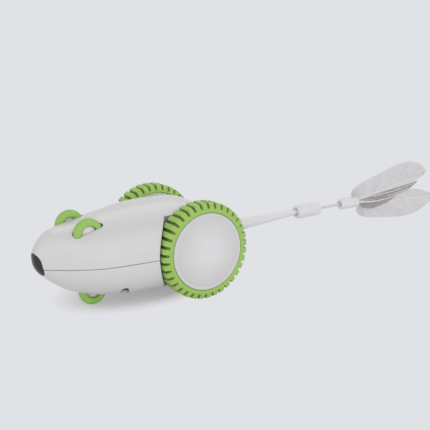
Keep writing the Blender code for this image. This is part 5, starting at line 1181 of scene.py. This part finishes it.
def sky():
    """Plain light from all round, and the pale background that the camera sees."""
    world = bpy.data.worlds.new("studio")
    world.use_nodes = True
    bpy.context.scene.world = world
    tree = world.node_tree
    tree.nodes.clear()
    direction = add(tree, "TexCoord").outputs["Generated"]
    facing = maths(tree, "DOT_PRODUCT", direction, Vector(SKY_SIDE).normalized(), kind="VectorMath")
    lift = maths(tree, "MULTIPLY", maths(tree, "MAXIMUM", facing, 0.0), SKY_LIFT)
    height = add(tree, "SeparateXYZ", Vector=direction).outputs["Z"]
    ceiling = ranged(tree, height, 1.0, CEILING_SHARE, *CEILING_EDGE)
    strength = maths(tree, "MULTIPLY", maths(tree, "ADD", lift, SKY_STRENGTH), ceiling)
    light = add(tree, "Background", Color=SKY_COLOUR, Strength=strength).outputs["Background"]
    back = add(tree, "Background", Color=FLOOR_COLOUR, Strength=1.0).outputs["Background"]
    seen = add(tree, "LightPath").outputs["Is Camera Ray"]
    add(tree, "OutputWorld", Surface=blended(tree, seen, light, back))


def lamp(name, place_at, target, size, power, colour, mirrored=True):
    """A soft rectangular lamp aimed at a point, which glossy surfaces mirror or not."""
    data = bpy.data.lights.new(name, "AREA")
    data.shape = "RECTANGLE"
    data.size, data.size_y = size
    data.energy = power
    data.color = colour
    obj = bpy.data.objects.new(name, data)
    obj.visible_glossy = mirrored
    obj.location = place_at
    obj.rotation_mode = "QUATERNION"
    obj.rotation_quaternion = (Vector(target) - Vector(place_at)).to_track_quat("-Z", "Y")
    bpy.context.scene.collection.objects.link(obj)


def camera():
    """The camera that was fitted to the photograph."""
    data = bpy.data.cameras.new("camera")
    data.lens = CAMERA_LENS
    data.sensor_width = 36.0
    data.clip_start, data.clip_end = 0.05, 50.0
    obj = bpy.data.objects.new("camera", data)
    matrix = Matrix.Translation(CAMERA_PLACE)
    for angle, axis in CAMERA_TURNS:
        matrix = matrix @ Matrix.Rotation(math.radians(angle), 4, axis)
    obj.matrix_world = matrix
    bpy.context.scene.collection.objects.link(obj)
    bpy.context.scene.camera = obj


paint_shades_and_markings()
FEATHER = feather_material("feather", (0.745, 0.72, 0.73), (0.60, 0.572, 0.58), 0.42)
# Painted shade: a darker copy of the feather finish for the two narrow feathers between the broad ones.
SHADED_FEATHER = feather_material("feather_painted_shade", (0.42, 0.385, 0.385), (0.27, 0.24, 0.24), 0.55)
body_shells()
nose_lens()
for side, word in SIDES:
    big_tyre(side, word)
    wheel_parts(side, word)
for name, centre in small_wheels():
    small_wheel(name, centre)
pin("roller_pin", SMALL_PIN_HALF, place(0, ROLLER_Y, SMALL_R), "roller_axle")
pin("ear_pin", EAR_X + SMALL_PIN_HALF, place(0, EAR_Y, EAR_Z), "ear_axle")
tail_stalk()
tail_end()
for name, made, crown in (("upper", FEATHER, 1.2), ("lower", FEATHER, 1.0), ("near", SHADED_FEATHER, 0.5),
                          ("far", SHADED_FEATHER, 0.5)):
    vane(name, made, crown)
    quill(name)
for post, x, y in post_places():
    belly_screw(f"{post}_shell_screw", "toy_body", x, y, SCREW_SEAT_Z - GAP, 1.8 * MM, 20.0 * MM,
                f"{post}_screw")
belly_screw("door_lock_screw", "door", 0.0, DOOR_SCREW_Y, 8.5 * MM, 0.9 * MM, 6.6 * MM, "door_screw")
belly_door()
switch_knob()
for index in range(3):
    battery(index)
dress_solids()
for leftover in list(WORKSHOP.objects):
    bpy.data.objects.remove(leftover, do_unlink=True)
floor()
sky()
lamp("back", (-0.65, 0.55, 1.15), (0, -0.05, 0.03), (1.8, 1.2), 4.0, (0.95, 0.97, 1.0))
lamp("side", (1.5, -0.6, 0.20), (0, -0.05, 0.04), (1.3, 0.36), 2.4, (1.0, 1.0, 1.0), mirrored=False)
camera()
bpy.context.scene.view_settings.view_transform = "Standard"
